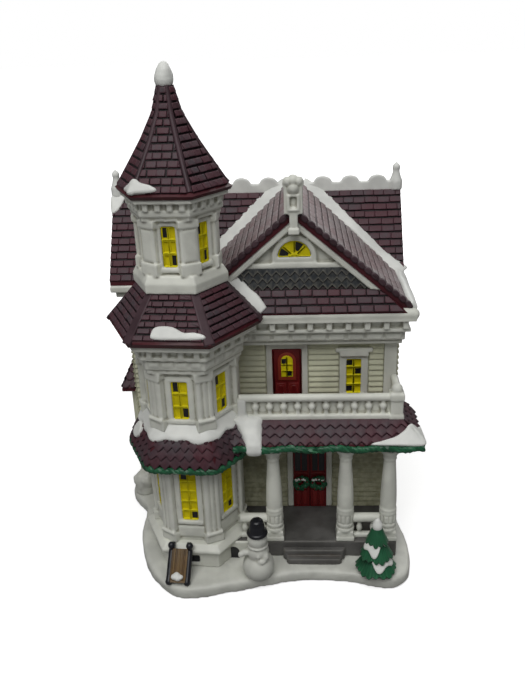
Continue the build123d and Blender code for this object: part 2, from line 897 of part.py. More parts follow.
# Ornament on the peak of the gable
with BuildPart() as gable_bracket:
    bracket_face = gable_front - bracket_depth / 2
    block(
        (gable_x - bracket_width / 2, bracket_face, bracket_foot_z),
        (gable_x + bracket_width / 2, bracket_face + bracket_depth, bracket_head_z),
    )
    with BuildSketch(front_plane(bracket_face + bracket_depth)):
        for lobe in (-bracket_head_pitch, 0, bracket_head_pitch):
            with Locations((gable_x + lobe, bracket_top_z - bracket_head_radius - abs(lobe) / 2)):
                Circle(bracket_head_radius)
        with Locations((gable_x, (bracket_head_z + bracket_top_z) / 2 - bracket_head_radius / 2)):
            Rectangle(bracket_width, bracket_top_z - bracket_head_z)
    extrude(amount=bracket_depth)
    block(
        (gable_x - bracket_drop_width / 2, bracket_face, bracket_drop_z),
        (gable_x + bracket_drop_width / 2, gable_front, bracket_foot_z),
    )
    with BuildSketch(front_plane(bracket_face)):
        with Locations((gable_x, (bracket_foot_z + bracket_head_z) / 2)):
            Rectangle(
                bracket_width * bracket_panel_share,
                (bracket_head_z - bracket_foot_z) * bracket_panel_share,
            )
    extrude(amount=-bracket_panel_depth, mode=Mode.SUBTRACT)
    add(wing_roof.part, mode=Mode.SUBTRACT)
    add(gable_wall.part, mode=Mode.SUBTRACT)
    keep_largest(gable_bracket)
finish(gable_bracket, "gable_bracket")

# Main cornice round the front and right of the wing
main_eave_front = ridge_y - main_run
with BuildPart() as main_cornice:
    level = wall_top
    for index, height in enumerate(cornice_heights):
        front = wing_front - cornice_front_reaches[index]
        right = house_right + cornice_side_reaches[index]
        block((tower_x, front, level - height), (right, wing_front, level))
        block((house_right, wing_front, level - height), (right, main_eave_front, level))
        if index == dentil_layer:
            dentil_front = wing_front - cornice_front_reaches[0] + dentil_width / 2
            dentil_count = int((right - tower_x) / dentil_pitch)
            for tooth in range(dentil_count):
                tooth_right = right - tooth * dentil_pitch
                block(
                    (tooth_right - dentil_width, dentil_front, level - height),
                    (tooth_right, front, level),
                )
        level -= height
    add(tower_core.part, mode=Mode.SUBTRACT)
    add(wing_roof.part, mode=Mode.SUBTRACT)
    keep_largest(main_cornice)
finish(main_cornice, "main_cornice")

# Eave cornices of the main block, in front on the left and along the rear
with BuildPart() as eave_cornices:
    cornice_foot = wall_top - eave_cornice_height
    cornice_step = wall_top - eave_cornice_height / 2
    for near, far, left, right in (
        (main_front, main_front - eave_cornice_reach, roof_left, wing_left),
        (house_rear, house_rear + eave_cornice_reach, roof_left, roof_right),
    ):
        inner = (near + far) / 2
        block((left, min(near, far), cornice_step), (right, max(near, far), wall_top))
        block(
            (left + eave_cornice_lip, min(near, inner), cornice_foot),
            (right, max(near, inner), cornice_step),
        )
    add(main_roof.part, mode=Mode.SUBTRACT)
    add(wing_roof.part, mode=Mode.SUBTRACT)
    add(tower_core.part, mode=Mode.SUBTRACT)
finish(eave_cornices, "eave_cornices")

# Tower, from the ground up
with BuildPart() as tower_foundation:
    hex_prism(foundation_radius, base_height, foundation_top)
    hex_taper(
        (
            (foundation_top, table_radius),
            (foundation_top + table_lip, table_radius),
            (table_top, table_top_radius),
        )
    )
    for face in side_faces:
        plane = face_plane(
            face,
            foundation_radius * hex_apothem_share,
            basement_window_sill + basement_window_height / 2,
        )
        with BuildSketch(plane, mode=Mode.PRIVATE) as light:
            Rectangle(basement_window_width, basement_window_height)
        extrude(light.sketch, amount=-basement_window_depth, mode=Mode.SUBTRACT)
    hex_hollow(lower_wall_radius, base_height, table_top)
finish(tower_foundation, "tower_foundation")

with BuildPart() as tower_lower_storey:
    hex_prism(lower_wall_radius, table_top, lower_top)
    corner_pilasters(
        tower_free_corners, lower_wall_radius, lower_pilaster_radius, table_top, lower_top
    )
    window_casings(lower_windows, lower_window_width, lower_window_height)
    hex_hollow(lower_wall_radius, table_top, lower_top)
    window_holes(lower_windows, lower_window_width, lower_window_height)
finish(tower_lower_storey, "tower_lower_storey")

with BuildPart() as tower_lower_roof:
    hex_taper(lower_roof_levels)
    hex_hollow(middle_wall_radius, lower_top, middle_floor)
finish(tower_lower_roof, "tower_lower_roof")

with BuildPart() as tower_middle_storey:
    hex_prism(middle_wall_radius, middle_floor, middle_wall_top)
    corner_pilasters(
        tower_free_corners, middle_wall_radius, middle_pilaster_radius, middle_floor, middle_wall_top
    )
    stacked_cornice(
        middle_wall_top, middle_cornice_heights, middle_cornice_radii, middle_dentil_layer
    )
    window_casings(middle_windows, middle_window_width, middle_window_height)
    hex_hollow(middle_wall_radius, middle_floor, middle_cornice_top)
    window_holes(middle_windows, middle_window_width, middle_window_height)
finish(tower_middle_storey, "tower_middle_storey")

with BuildPart() as tower_middle_roof:
    hex_taper(middle_roof_levels)
    hex_hollow(upper_wall_radius, middle_cornice_top, upper_floor)
finish(tower_middle_roof, "tower_middle_roof")

with BuildPart() as tower_upper_storey:
    hex_taper(
        (
            (upper_floor, plinth_radius),
            (upper_floor + plinth_height, plinth_radius),
            (plinth_top, plinth_top_radius),
        )
    )
    hex_prism(upper_wall_radius, plinth_top, upper_wall_top)
    corner_pilasters(
        tower_all_corners, upper_wall_radius, upper_pilaster_radius, plinth_top, upper_wall_top
    )
    stacked_cornice(upper_wall_top, upper_cornice_heights, upper_cornice_radii, upper_dentil_layer)
    window_casings(upper_windows, upper_window_width, upper_window_height)
    hex_hollow(upper_wall_radius, upper_floor, upper_cornice_top)
    window_holes(upper_windows, upper_window_width, upper_window_height)
finish(tower_upper_storey, "tower_upper_storey")

spire_levels = (
    (spire_foot, spire_under_radius),
    (spire_foot + spire_eave_height, spire_eave_radius),
) + tuple((spire_foot + height, radius) for height, radius in zip(spire_heights, spire_radii))
spire_hollow = (
    (spire_foot, upper_wall_radius - hex_shell),
    (spire_foot + spire_heights[1], spire_radii[1] - 2 * hex_shell),
    (spire_foot + spire_heights[2], spire_radii[2] - 2 * hex_shell),
)
with BuildPart() as tower_spire:
    hex_taper(spire_levels)
    hex_taper(spire_hollow, Mode.SUBTRACT)
finish(tower_spire, "tower_spire")

with BuildPart() as spire_finial:
    with BuildSketch(Plane.XZ.offset(-tower_y)):
        with BuildLine():
            cap_side = Spline(
                (tower_x + spire_radii[-1] * hex_apothem_share, spire_top),
                (tower_x + spire_cap_radius, spire_top + spire_cap_height / 4),
                (tower_x + spire_cap_tip_radius, spire_top + spire_cap_height * 3 / 4),
                (tower_x, spire_top + spire_cap_height),
            )
            Polyline(cap_side @ 1, (tower_x, spire_top), cap_side @ 0)
        make_face()
    revolve(axis=Axis((tower_x, tower_y, 0), (0, 0, 1)))
finish(spire_finial, "spire_finial")

# Tower window panes, one group for each storey
for name, planes, width, height, rows in (
    ("tower_lower_windows", lower_windows, lower_window_width, lower_window_height, tall_pane_rows),
    ("tower_middle_windows", middle_windows, middle_window_width, middle_window_height, pane_rows),
    ("tower_upper_windows", upper_windows, upper_window_width, upper_window_height, pane_rows),
):
    with BuildPart() as panes:
        window_panes(planes, width, height, rows)
    finish(panes, name)

# Garland along the front eaves of the lower tower roof
with BuildPart() as tower_garland:
    with BuildSketch(tower_plane.offset(lower_top)):
        RegularPolygon(lower_eave_radius + garland_radius, hex_sides)
        RegularPolygon(lower_eave_radius, hex_sides, mode=Mode.SUBTRACT)
        with Locations((0, lower_eave_radius)):
            Rectangle(4 * lower_eave_radius, 2 * lower_eave_radius, mode=Mode.SUBTRACT)
    extrude(amount=lower_eave_height)
finish(tower_garland, "tower_garland")

# Porch floor and steps
with BuildPart() as porch_floor:
    block(
        (tower_x, porch_floor_front, base_height),
        (porch_floor_right, wing_front, porch_floor_top),
    )
    add(tower_core.part, mode=Mode.SUBTRACT)
finish(porch_floor, "porch_floor")

step_height = (porch_floor_top - base_height) / (step_count + 1)
with BuildPart() as porch_steps:
    for step in range(step_count):
        depth = (step_count - step) * step_depth
        width = step_width - 2 * step_taper * (step_count - 1 - step)
        with BuildSketch(Plane.XY.offset(base_height), mode=Mode.PRIVATE) as tread:
            with Locations((step_x, porch_floor_front - depth / 2)):
                Rectangle(width, depth)
            fillet(tread.vertices().group_by(Axis.Y)[0], step_corner)
        extrude(tread.sketch, amount=(step + 1) * step_height)
finish(porch_steps, "porch_steps")

# Turned columns on square blocks
ring_z = porch_floor_top + column_block_height
drum_z = ring_z + column_ring_height
foot_z = drum_z + column_drum_height
shaft_z = foot_z + column_ring_height
cap_z = beam_bottom - column_cap_height
column_profile = (
    (0, ring_z),
    (column_ring_radius, ring_z),
    (column_ring_radius, drum_z),
    (column_drum_radius, drum_z),
    (column_drum_radius, foot_z),
    (column_ring_radius, foot_z),
    (column_ring_radius, shaft_z),
    (column_foot_radius, shaft_z),
    (column_neck_radius, cap_z),
    (column_cap_radius, beam_bottom - column_cap_height / 3),
    (column_cap_radius, beam_bottom),
    (0, beam_bottom),
)
column_names = ("porch_column_left", "porch_column_middle", "porch_column_right")
for name, (x, y) in zip(column_names, column_places):
    with BuildPart() as column:
        block(
            (x - column_block / 2, y - column_block / 2, porch_floor_top),
            (x + column_block / 2, y + column_block / 2, ring_z),
        )
        with BuildSketch(front_plane(y)):
            with BuildLine():
                Polyline(*[(x + radius, height) for radius, height in column_profile], close=True)
            make_face()
        revolve(axis=Axis((x, y, 0), (0, 0, 1)))
    finish(column, name)

# Beam over the columns, arched between them, with a return to the wall on the right
beam_right = column_places[-1][0] + column_cap_radius
beam_back = beam_front + beam_depth
with BuildPart() as porch_beam:
    block((tower_x, beam_front, beam_bottom), (beam_right, beam_back, porch_eave_z))
    block((beam_right - beam_depth, beam_back, beam_bottom), (beam_right, wing_front, porch_eave_z))
    add(tower_core.part, mode=Mode.SUBTRACT)
    add(tower_garland.part, mode=Mode.SUBTRACT)
    beam_end = porch_beam.vertices().sort_by(Axis.X)[0].X
    stops = (beam_end - column_cap_radius,) + tuple(x for x, y in column_places)
    with BuildSketch(front_plane(beam_back)):
        for left, right in zip(stops[:-1], stops[1:]):
            with Locations(((left + right) / 2, beam_bottom)):
                Ellipse((right - left) / 2 - column_cap_radius, arch_rise)
    extrude(amount=beam_depth, mode=Mode.SUBTRACT)
    keep_largest(porch_beam)
finish(porch_beam, "porch_beam")

# Porch roof, hipped at the right
with BuildPart() as porch_roof:
    sections = []
    for height, right, front in (
        (porch_eave_z, porch_eave_right, porch_eave_front),
        (porch_eave_z + porch_eave_lip, porch_eave_right, porch_eave_front),
        (porch_roof_top, balcony_right, balcony_front),
    ):
        with BuildSketch(Plane.XY.offset(height), mode=Mode.PRIVATE) as section:
            with Locations(((tower_x + right) / 2, (front + wing_front) / 2)):
                Rectangle(right - tower_x, wing_front - front)
        sections.append(section.sketch)
    loft(sections, ruled=True)
    add(tower_core.part, mode=Mode.SUBTRACT)
    add(house_walls.part, mode=Mode.SUBTRACT)
    keep_largest(porch_roof)
finish(porch_roof, "porch_roof")

with BuildPart() as porch_garland:
    block(
        (porch_roof_left, porch_eave_front - garland_radius, porch_eave_z - garland_drop),
        (porch_eave_right, porch_eave_front, porch_eave_z + porch_eave_lip),
    )
    add(tower_core.part, mode=Mode.SUBTRACT)
    add(tower_garland.part, mode=Mode.SUBTRACT)
finish(porch_garland, "porch_garland")

# Balcony railing with its corner post
rail_back = balcony_front + balcony_rail_depth
lower_rail_top = porch_roof_top + balcony_lower_rail
upper_rail_foot = balcony_top - balcony_upper_rail
post_left = balcony_right - post_width
post_back = balcony_front + post_width
side_rail_left = balcony_right - balcony_rail_depth
side_rail_end = wing_front - corner_pilaster_proud
baluster_profile = (
    (0, lower_rail_top),
    (baluster_waist_radius, lower_rail_top),
    (baluster_radius, (2 * lower_rail_top + upper_rail_foot) / 3),
    (baluster_waist_radius, upper_rail_foot),
    (0, upper_rail_foot),
)


def turned_baluster(x, y):
    """One turned baluster between the rails."""
    with BuildSketch(front_plane(y), mode=Mode.PRIVATE) as profile:
        with BuildLine():
            Polyline(*[(x + radius, height) for radius, height in baluster_profile], close=True)
        make_face()
    revolve(profile.sketch, axis=Axis((x, y, 0), (0, 0, 1)))


with BuildPart() as balcony_railing:
    for low, high in ((porch_roof_top, lower_rail_top), (upper_rail_foot, balcony_top)):
        block((tower_x, balcony_front, low), (post_left, rail_back, high))
        block((side_rail_left, post_back, low), (balcony_right, side_rail_end, high))
    add(tower_core.part, mode=Mode.SUBTRACT)
    add(tower_middle_storey.part, mode=Mode.SUBTRACT)
    rail_middle = balcony_front + balcony_rail_depth / 2
    rail_start = porch_roof_left
    for index in range(int((post_left - rail_start) / baluster_pitch)):
        turned_baluster(post_left - (index + 1 / 2) * baluster_pitch, rail_middle)
    side_middle = side_rail_left + balcony_rail_depth / 2
    for index in range(int((side_rail_end - post_back) / baluster_pitch)):
        turned_baluster(side_middle, post_back + (index + 1 / 2) * baluster_pitch)
finish(balcony_railing, "balcony_railing")

with BuildPart() as balcony_post:
    block((post_left, balcony_front, porch_roof_top), (balcony_right, post_back, post_top))
    block(
        (post_left - post_cap_proud, balcony_front - post_cap_proud, post_top),
        (balcony_right + post_cap_proud, post_back + post_cap_proud, post_top + post_cap_height),
    )
    fillet(balcony_post.faces().sort_by(Axis.Z)[-1].edges(), post_cap_height / 2)
finish(balcony_post, "balcony_post")

# Low porch railings either side of the steps
for name, left, right in (
    ("porch_railing_left", tower_x, column_places[0][0] - column_block / 2),
    (
        "porch_railing_right",
        column_places[1][0] + column_block / 2,
        column_places[2][0] - column_block / 2,
    ),
):
    with BuildPart() as railing:
        y = column_places[0][1]
        block(
            (left, y - porch_rail_depth / 2, porch_rail_top - porch_rail_height),
            (right, y + porch_rail_depth / 2, porch_rail_top),
        )
        add(tower_core.part, mode=Mode.SUBTRACT)
        rail_left = railing.vertices().sort_by(Axis.X)[0].X
        for index in range(int((right - rail_left) / porch_rail_pitch)):
            x = right - (index + 1 / 2) * porch_rail_pitch
            block(
                (x - porch_rail_depth / 2, y - porch_rail_depth / 2, porch_floor_top),
                (x + porch_rail_depth / 2, y + porch_rail_depth / 2, porch_rail_top - porch_rail_height),
            )
        add(tower_core.part, mode=Mode.SUBTRACT)
    finish(railing, name)

# Doors, their frames and the corner pilaster of the upper floor
cornice_foot_z = wall_top - sum(cornice_heights)
doors = (
    ("balcony_door", balcony_door_x, balcony_door_width, porch_roof_top, balcony_door_top),
    ("front_doors", front_door_x, front_door_width, porch_floor_top, front_door_top),
)
with BuildPart() as wall_trim:
    for name, x, width, low, high in doors:
        with BuildSketch(front_plane(wing_front), mode=Mode.PRIVATE) as frame:
            with Locations((x, (low + high + door_frame_width) / 2)):
                Rectangle(width + 2 * door_frame_width, high - low + door_frame_width)
            with Locations((x, (low + high) / 2)):
                Rectangle(width, high - low, mode=Mode.SUBTRACT)
        extrude(frame.sketch, amount=door_frame_proud)
    block(
        (house_right - corner_pilaster_width, wing_front - corner_pilaster_proud, porch_roof_top),
        (house_right, wing_front, cornice_foot_z),
    )
finish(wall_trim, "wall_trim")


def door_leaf(x, width, low, high, light):
    """A panelled leaf on the wall, with a window or a panel in its upper half."""
    with BuildSketch(front_plane(wing_front), mode=Mode.PRIVATE) as leaf:
        with Locations((x, (low + high) / 2)):
            Rectangle(width, high - low)
    extrude(leaf.sketch, amount=door_thickness)
    panel_width = (width - 3 * door_panel_inset) / 2
    panel_height = (high - low) / 3
    with BuildSketch(front_plane(wing_front - door_thickness), mode=Mode.PRIVATE) as panels:
        with Locations((x, low + door_panel_inset + panel_height / 2)):
            with GridLocations(panel_width + door_panel_inset, 0, 2, 1):
                Rectangle(panel_width, panel_height)
        with Locations((x, (light[1] + light[2] - light[0] / 2) / 2)):
            Rectangle(light[0], light[2] - light[1] - light[0] / 2)
        with Locations((x, light[2] - light[0] / 2)):
            Circle(light[0] / 2)
    extrude(panels.sketch, amount=-door_panel_depth, mode=Mode.SUBTRACT)


with BuildPart() as balcony_door:
    door_leaf(
        balcony_door_x,
        balcony_door_width,
        porch_roof_top,
        balcony_door_top,
        (balcony_light_width, balcony_light_sill, balcony_light_head),
    )
finish(balcony_door, "balcony_door")

leaf_width = (front_door_width - front_leaf_gap) / 2
leaf_centres = (
    front_door_x - (leaf_width + front_leaf_gap) / 2,
    front_door_x + (leaf_width + front_leaf_gap) / 2,
)
with BuildPart() as front_doors:
    for x in leaf_centres:
        light_width = leaf_width - 2 * door_panel_inset
        light_sill = wreath_z + wreath_radius + door_panel_inset
        door_leaf(
            x,
            leaf_width,
            porch_floor_top,
            front_door_top,
            (light_width, light_sill, front_door_top - door_panel_inset),
        )
finish(front_doors, "front_doors")

with BuildPart() as door_wreaths:
    with BuildSketch(front_plane(wing_front - door_thickness)):
        with Locations(*[(x, wreath_z) for x in leaf_centres]):
            Circle(wreath_radius + wreath_thickness / 2)
            Circle(wreath_radius - wreath_thickness, mode=Mode.SUBTRACT)
    extrude(amount=2 * wreath_thickness)
    fillet(door_wreaths.faces().group_by(Axis.Y)[0].edges(), wreath_thickness / 2)
finish(door_wreaths, "door_wreaths")

# Bay on the left side, with its own small roof
with BuildPart() as side_bay:
    block(
        (house_left - bay_reach, bay_front, base_height),
        (house_left, bay_rear, bay_wall_top),
    )
    outer_corners = side_bay.edges().filter_by(Axis.Z).group_by(Axis.X)[0]
    chamfer(outer_corners, bay_reach / 2)
    window_casings([bay_window], house_window_width, house_window_height)
    window_holes([bay_window], house_window_width, house_window_height)
finish(side_bay, "side_bay")

with BuildPart() as side_bay_roof:
    sections = []
    eave_reach = bay_reach + bay_roof_overhang
    eave_front = bay_front - bay_roof_overhang
    eave_rear = bay_rear + bay_roof_overhang
    for height, reach, front, rear in (
        (bay_wall_top, eave_reach, eave_front, eave_rear),
        (bay_wall_top + bay_roof_lip, eave_reach, eave_front, eave_rear),
        (
            bay_roof_top,
            bay_roof_top_reach,
            bay_front + bay_roof_ridge_inset,
            bay_rear - bay_roof_ridge_inset,
        ),
    ):
        with BuildSketch(Plane.XY.offset(height), mode=Mode.PRIVATE) as section:
            with Locations((house_left - reach / 2, (front + rear) / 2)):
                Rectangle(reach, rear - front)
        sections.append(section.sketch)
    loft(sections, ruled=True)
    add(house_window_casings.part, mode=Mode.SUBTRACT)
finish(side_bay_roof, "side_bay_roof")

# Figures on the base
with BuildPart() as snow_bush:
    with Locations((*bush_place, base_height + bush_height - bush_radius)):
        Sphere(bush_radius)
    with BuildSketch(Plane.XY.offset(base_height)):
        with Locations(bush_place):
            Circle(bush_radius)
    extrude(amount=bush_height - bush_radius)
finish(snow_bush, "snow_bush")

with BuildPart() as snowman:
    x, y = snowman_place
    for radius, height in zip(snowman_ball_radii, snowman_ball_heights):
        with Locations((x, y, base_height + height)):
            Sphere(radius)
    arm_z = base_height + snowman_ball_heights[1] - snowman_arm_drop
    for side in (-1, 1):
        with Locations((x + side * snowman_ball_radii[1], y - snowman_arm_radius, arm_z)):
            Sphere(snowman_arm_radius)
    widest = snowman_ball_radii[0]
    block(
        (x - widest, y - widest, base_height - widest),
        (x + widest, y + widest, base_height),
        Mode.SUBTRACT,
    )
finish(snowman, "snowman")

hat_foot = base_height + snowman_ball_heights[2] + hat_rise
with BuildPart() as snowman_hat:
    with BuildSketch(Plane.XY.offset(hat_foot)):
        with Locations(snowman_place):
            Circle(hat_brim_radius)
    extrude(amount=hat_brim_height)
    with BuildSketch(Plane.XY.offset(hat_foot + hat_brim_height)):
        with Locations(snowman_place):
            Circle(hat_crown_radius)
    extrude(amount=hat_crown_height)
    add(snowman.part, mode=Mode.SUBTRACT)
finish(snowman_hat, "snowman_hat")

with BuildPart() as fir_tree:
    x, y = tree_place
    tier_foot = base_height + tree_foot_height
    outline = [(x, base_height), (x + tree_foot_radius, base_height), (x + tree_foot_radius, tier_foot)]
    for radius, top_radius, height in zip(tree_tier_radii, tree_tier_top_radii, tree_tier_heights):
        outline.append((x + radius, tier_foot))
        outline.append((x + top_radius, tier_foot + height))
        tier_foot += height
    outline.append((x, tier_foot))
    with BuildSketch(front_plane(y)):
        with BuildLine():
            Polyline(*outline, close=True)
        make_face()
    revolve(axis=Axis((x, y, 0), (0, 0, 1)))
finish(fir_tree, "fir_tree")

# Sled leaning on the rim of the tower's foundation
front_face = tower_front_faces[1]
rim_rise = foundation_top + table_lip - base_height
sled_distance = table_radius * hex_apothem_share + rim_rise / math.tan(math.radians(sled_lean)) + sled_gap
sled_ground = face_plane(front_face, sled_distance, base_height)
sled_across = sled_ground.x_dir
sled_along = (-sled_ground.z_dir).rotate(Axis((0, 0, 0), sled_across), sled_lean)
sled_plane = Plane(
    sled_ground.from_local_coords((sled_shift, 0, 0)),
    x_dir=sled_across,
    z_dir=sled_across.cross(sled_along),
)
with BuildPart() as sled_deck:
    with BuildSketch(sled_plane.offset(sled_runner_height)):
        with Locations((0, (sled_length - sled_curl_radius) / 2)):
            Rectangle(sled_deck_width, sled_length - sled_curl_radius)
    extrude(amount=sled_deck_thickness)
finish(sled_deck, "sled_deck")

with BuildPart() as sled_runners:
    for side in (-1, 1):
        edge = side * (sled_width - sled_runner_thickness) / 2
        runner_plane = Plane(
            sled_plane.from_local_coords((edge - sled_runner_thickness / 2, 0, 0)),
            x_dir=sled_along,
            z_dir=sled_across,
        )
        with BuildSketch(runner_plane, mode=Mode.PRIVATE) as runner:
            with Locations((sled_length / 2, sled_runner_height / 2)):
                Rectangle(sled_length, sled_runner_height)
            with Locations((sled_length, sled_curl_radius)):
                Circle(sled_curl_radius)
        extrude(runner.sketch, amount=sled_runner_thickness)
    add(sled_deck.part, mode=Mode.SUBTRACT)
finish(sled_runners, "sled_runners")


# Snow lying on the roofs
def hex_slope_plane(face, lower, upper, shift, rise):
    """A plane on a sloping tower roof face, a rise up the slope from its lower edge."""
    low = face_plane(face, lower[1] * hex_apothem_share, lower[0])
    high = face_plane(face, upper[1] * hex_apothem_share, upper[0])
    up = (high.origin - low.origin).normalized()
    place = low.origin + low.x_dir * shift + up * rise
    return Plane(place, x_dir=low.x_dir, z_dir=low.x_dir.cross(up))


porch_lip_z = porch_eave_z + porch_eave_lip
porch_slope_up = Vector(0, balcony_front - porch_eave_front, porch_roof_top - porch_lip_z)
porch_slope_length = porch_slope_up.length
porch_slope = Plane(
    (balcony_right, porch_eave_front, porch_lip_z),
    x_dir=(1, 0, 0),
    z_dir=Vector(1, 0, 0).cross(porch_slope_up.normalized()),
)
with BuildPart() as roof_snow:
    for face, lower, upper, shift, rise, length, width in (
        (
            front_face, middle_roof_levels[1], middle_roof_levels[2],
            middle_snow_shift, middle_snow_rise, middle_snow_length, middle_snow_width,
        ),
        (
            front_face, spire_levels[2], spire_levels[3],
            spire_snow_shift, spire_snow_rise, spire_snow_length, spire_snow_width,
        ),
        (
            tower_front_faces[0], spire_levels[2], spire_levels[3],
            -spire_snow_shift, spire_snow_rise, spire_snow_length, spire_snow_width,
        ),
    ):
        with BuildSketch(hex_slope_plane(face, lower, upper, shift, rise), mode=Mode.PRIVATE) as patch:
            Ellipse(length / 2, width / 2)
        extrude(patch.sketch, amount=snow_thickness)
    slab(
        porch_slope,
        (
            (-2 * porch_slope_length, 0),
            (porch_eave_right - balcony_right, 0),
            (0, porch_slope_length),
            (-porch_slope_length / 2, porch_slope_length / 2),
        ),
        snow_thickness,
    )
finish(roof_snow, "roof_snow")

# Snow packed on the porch roof where it meets the tower skirt
with BuildPart() as corner_snow:
    block(
        (tower_x, porch_eave_front + corner_snow_setback, porch_lip_z),
        (porch_roof_left, balcony_front, porch_roof_top),
    )
    fillet(corner_snow.edges().filter_by(Axis.X).group_by(Axis.Y)[0].sort_by(Axis.Z)[-1], corner_snow_edge)
    add(tower_core.part, mode=Mode.SUBTRACT)
    add(porch_roof.part, mode=Mode.SUBTRACT)
    keep_largest(corner_snow)
finish(corner_snow, "corner_snow")

main_slope_length = math.hypot(main_run, main_rise)
main_slope_plane = Plane(
    (gable_x, ridge_y, ridge_z),
    x_dir=(1, 0, 0),
    z_dir=(0, -math.sin(main_slope), math.cos(main_slope)),
)
valley_top = (gable_ridge_z - ridge_z) * gable_half_width / gable_rise
valley_foot = -main_slope_length * (ridge_z - gable_eave_z) / main_rise
with BuildPart() as valley_snow:
    for side in (-1, 1):
        slab(
            main_slope_plane,
            (
                (side * (valley_top + flat_half), -flat_half / math.cos(main_slope)),
                (side * gable_half_width, valley_foot),
                (side * (gable_half_width + valley_snow_width / 2), valley_foot),
                (side * (valley_top + flat_half + valley_snow_width), -flat_half / math.cos(main_slope)),
            ),
            snow_thickness,
        )
    block(
        (roof_right, ridge_y - 2 * main_run, wall_top - overrun),
        (roof_right + 2 * gable_half_width, ridge_y, ridge_z + overrun),
        Mode.SUBTRACT,
    )
    add(wing_roof.part, mode=Mode.SUBTRACT)
    add(ridge_cresting.part, mode=Mode.SUBTRACT)
    add(tower_core.part, mode=Mode.SUBTRACT)
finish(valley_snow, "valley_snow")

# Lamp: socket with a spring clip in the rear hole, and a bulb screwed into it
lamp_axis = Axis((lamp_x, 0, lamp_z), (0, 1, 0))
socket_outer_y = house_rear + socket_out
socket_inner_y = socket_outer_y - socket_length
bore_end_y = socket_inner_y + socket_bore_depth
cap_outer_y = bore_end_y - cap_contact_height - lamp_gap
cap_inner_y = cap_outer_y - cap_length
bulb_tip_y = cap_inner_y - bulb_length


def lamp_cylinder(radius, start_y, end_y, mode=Mode.ADD):
    """A round piece on the lamp's axis between two places along it."""
    with BuildSketch(front_plane(max(start_y, end_y)), mode=Mode.PRIVATE) as disc:
        with Locations((lamp_x, lamp_z)):
            Circle(radius)
    extrude(disc.sketch, amount=abs(end_y - start_y), mode=mode)


with BuildPart() as lamp_socket:
    lamp_cylinder(socket_radius, socket_outer_y, socket_inner_y)
    lamp_cylinder(socket_radius + socket_rib_height, socket_outer_y, socket_outer_y - socket_wall)
    lamp_cylinder(cap_radius + lamp_gap, bore_end_y, socket_inner_y - overrun, Mode.SUBTRACT)
    lamp_cylinder(cord_inlet_radius, socket_outer_y + overrun, bore_end_y - overrun, Mode.SUBTRACT)
finish(lamp_socket, "lamp_socket")

clip_reach = lamp_hole_radius - lamp_gap
clip_outer_y = house_rear + (clip_width - shell) / 2
with BuildPart() as lamp_clip:
    with BuildSketch(front_plane(clip_outer_y)):
        with Locations((lamp_x, lamp_z)):
            Circle(clip_reach)
            Circle(clip_reach - clip_thickness, mode=Mode.SUBTRACT)
            Rectangle(2 * clip_reach, clip_arm_length, mode=Mode.INTERSECT)
            Rectangle(2 * (clip_reach - clip_thickness / 2), clip_thickness)
            Circle(socket_radius + clip_thickness)
            Circle(socket_radius, mode=Mode.SUBTRACT)
    extrude(amount=clip_width)
finish(lamp_clip, "lamp_clip")

with BuildPart() as bulb_cap:
    lamp_cylinder(cap_radius, cap_outer_y, cap_inner_y)
    lamp_cylinder(cap_contact_radius, cap_outer_y + cap_contact_height, cap_outer_y)
finish(bulb_cap, "bulb_cap")

with BuildPart() as bulb_glass:
    with BuildSketch(Plane.YX.offset(-lamp_z)):
        with BuildLine():
            bulb_side = Spline(
                (cap_inner_y, lamp_x + bulb_neck_radius),
                (cap_inner_y - bulb_length * bulb_belly_share, lamp_x + bulb_radius),
                (bulb_tip_y + bulb_length * bulb_belly_share, lamp_x + bulb_radius / 2),
                (bulb_tip_y, lamp_x),
            )
            Polyline(bulb_side @ 1, (cap_inner_y, lamp_x), bulb_side @ 0)
        make_face()
    revolve(axis=lamp_axis)
finish(bulb_glass, "bulb_glass")
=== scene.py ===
import math
import random

import bpy
import numpy as np
from mathutils import Matrix, Vector, noise


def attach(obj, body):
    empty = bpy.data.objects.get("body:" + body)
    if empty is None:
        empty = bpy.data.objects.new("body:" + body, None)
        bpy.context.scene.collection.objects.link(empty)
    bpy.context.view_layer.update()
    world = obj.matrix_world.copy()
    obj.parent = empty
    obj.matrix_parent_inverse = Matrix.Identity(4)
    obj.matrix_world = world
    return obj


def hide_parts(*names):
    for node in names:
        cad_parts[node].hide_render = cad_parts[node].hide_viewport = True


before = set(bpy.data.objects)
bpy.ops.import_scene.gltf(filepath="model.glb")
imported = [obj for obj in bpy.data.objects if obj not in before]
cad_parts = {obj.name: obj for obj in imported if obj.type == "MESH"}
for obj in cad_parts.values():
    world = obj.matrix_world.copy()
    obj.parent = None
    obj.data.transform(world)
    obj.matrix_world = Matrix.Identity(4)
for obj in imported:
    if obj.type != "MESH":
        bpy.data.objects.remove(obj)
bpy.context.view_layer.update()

MM = 0.001
dice = random.Random(8065)
scene = bpy.context.scene
fine = 0.45

# Places and sizes shared with the CAD, in millimetres
tower_x, tower_y, tower_turn = -29.2, -32.0, -4.6
apothem = math.sqrt(3) / 2
gable_x, gable_half, gable_ridge, gable_eave, gable_front = 20.75, 52.25, 174.5, 129.5, -28.6
gable_rise = gable_ridge - gable_eave
gable_length = math.hypot(gable_half, gable_rise)
ridge_y, ridge_z, main_eave_y, main_eave_z = 44.2, 168.8, 16.0, 129.4
roof_left, roof_right = -74.2, 75.2
wall_left, wall_right, wall_rear, wall_foot, wall_head = -67.5, 68.5, 68.0, 6.0, 127.0
wing_left, wing_front, main_front = -25.0, -17.3, 20.0
gutter_front, gutter_top = -31.1, 127.3
porch_top, balcony_floor = 15.0, 78.9
porch_left, porch_right, porch_eave_y, porch_eave_z = -10.2, 77.6, -49.6, 70.4
column_places, column_y = {"left": 9.1, "middle": 43.3, "right": 63.8}, -42.8
bay_left, bay_front, bay_rear, bay_eave = -76.1, 20.4, 65.6, 65.8
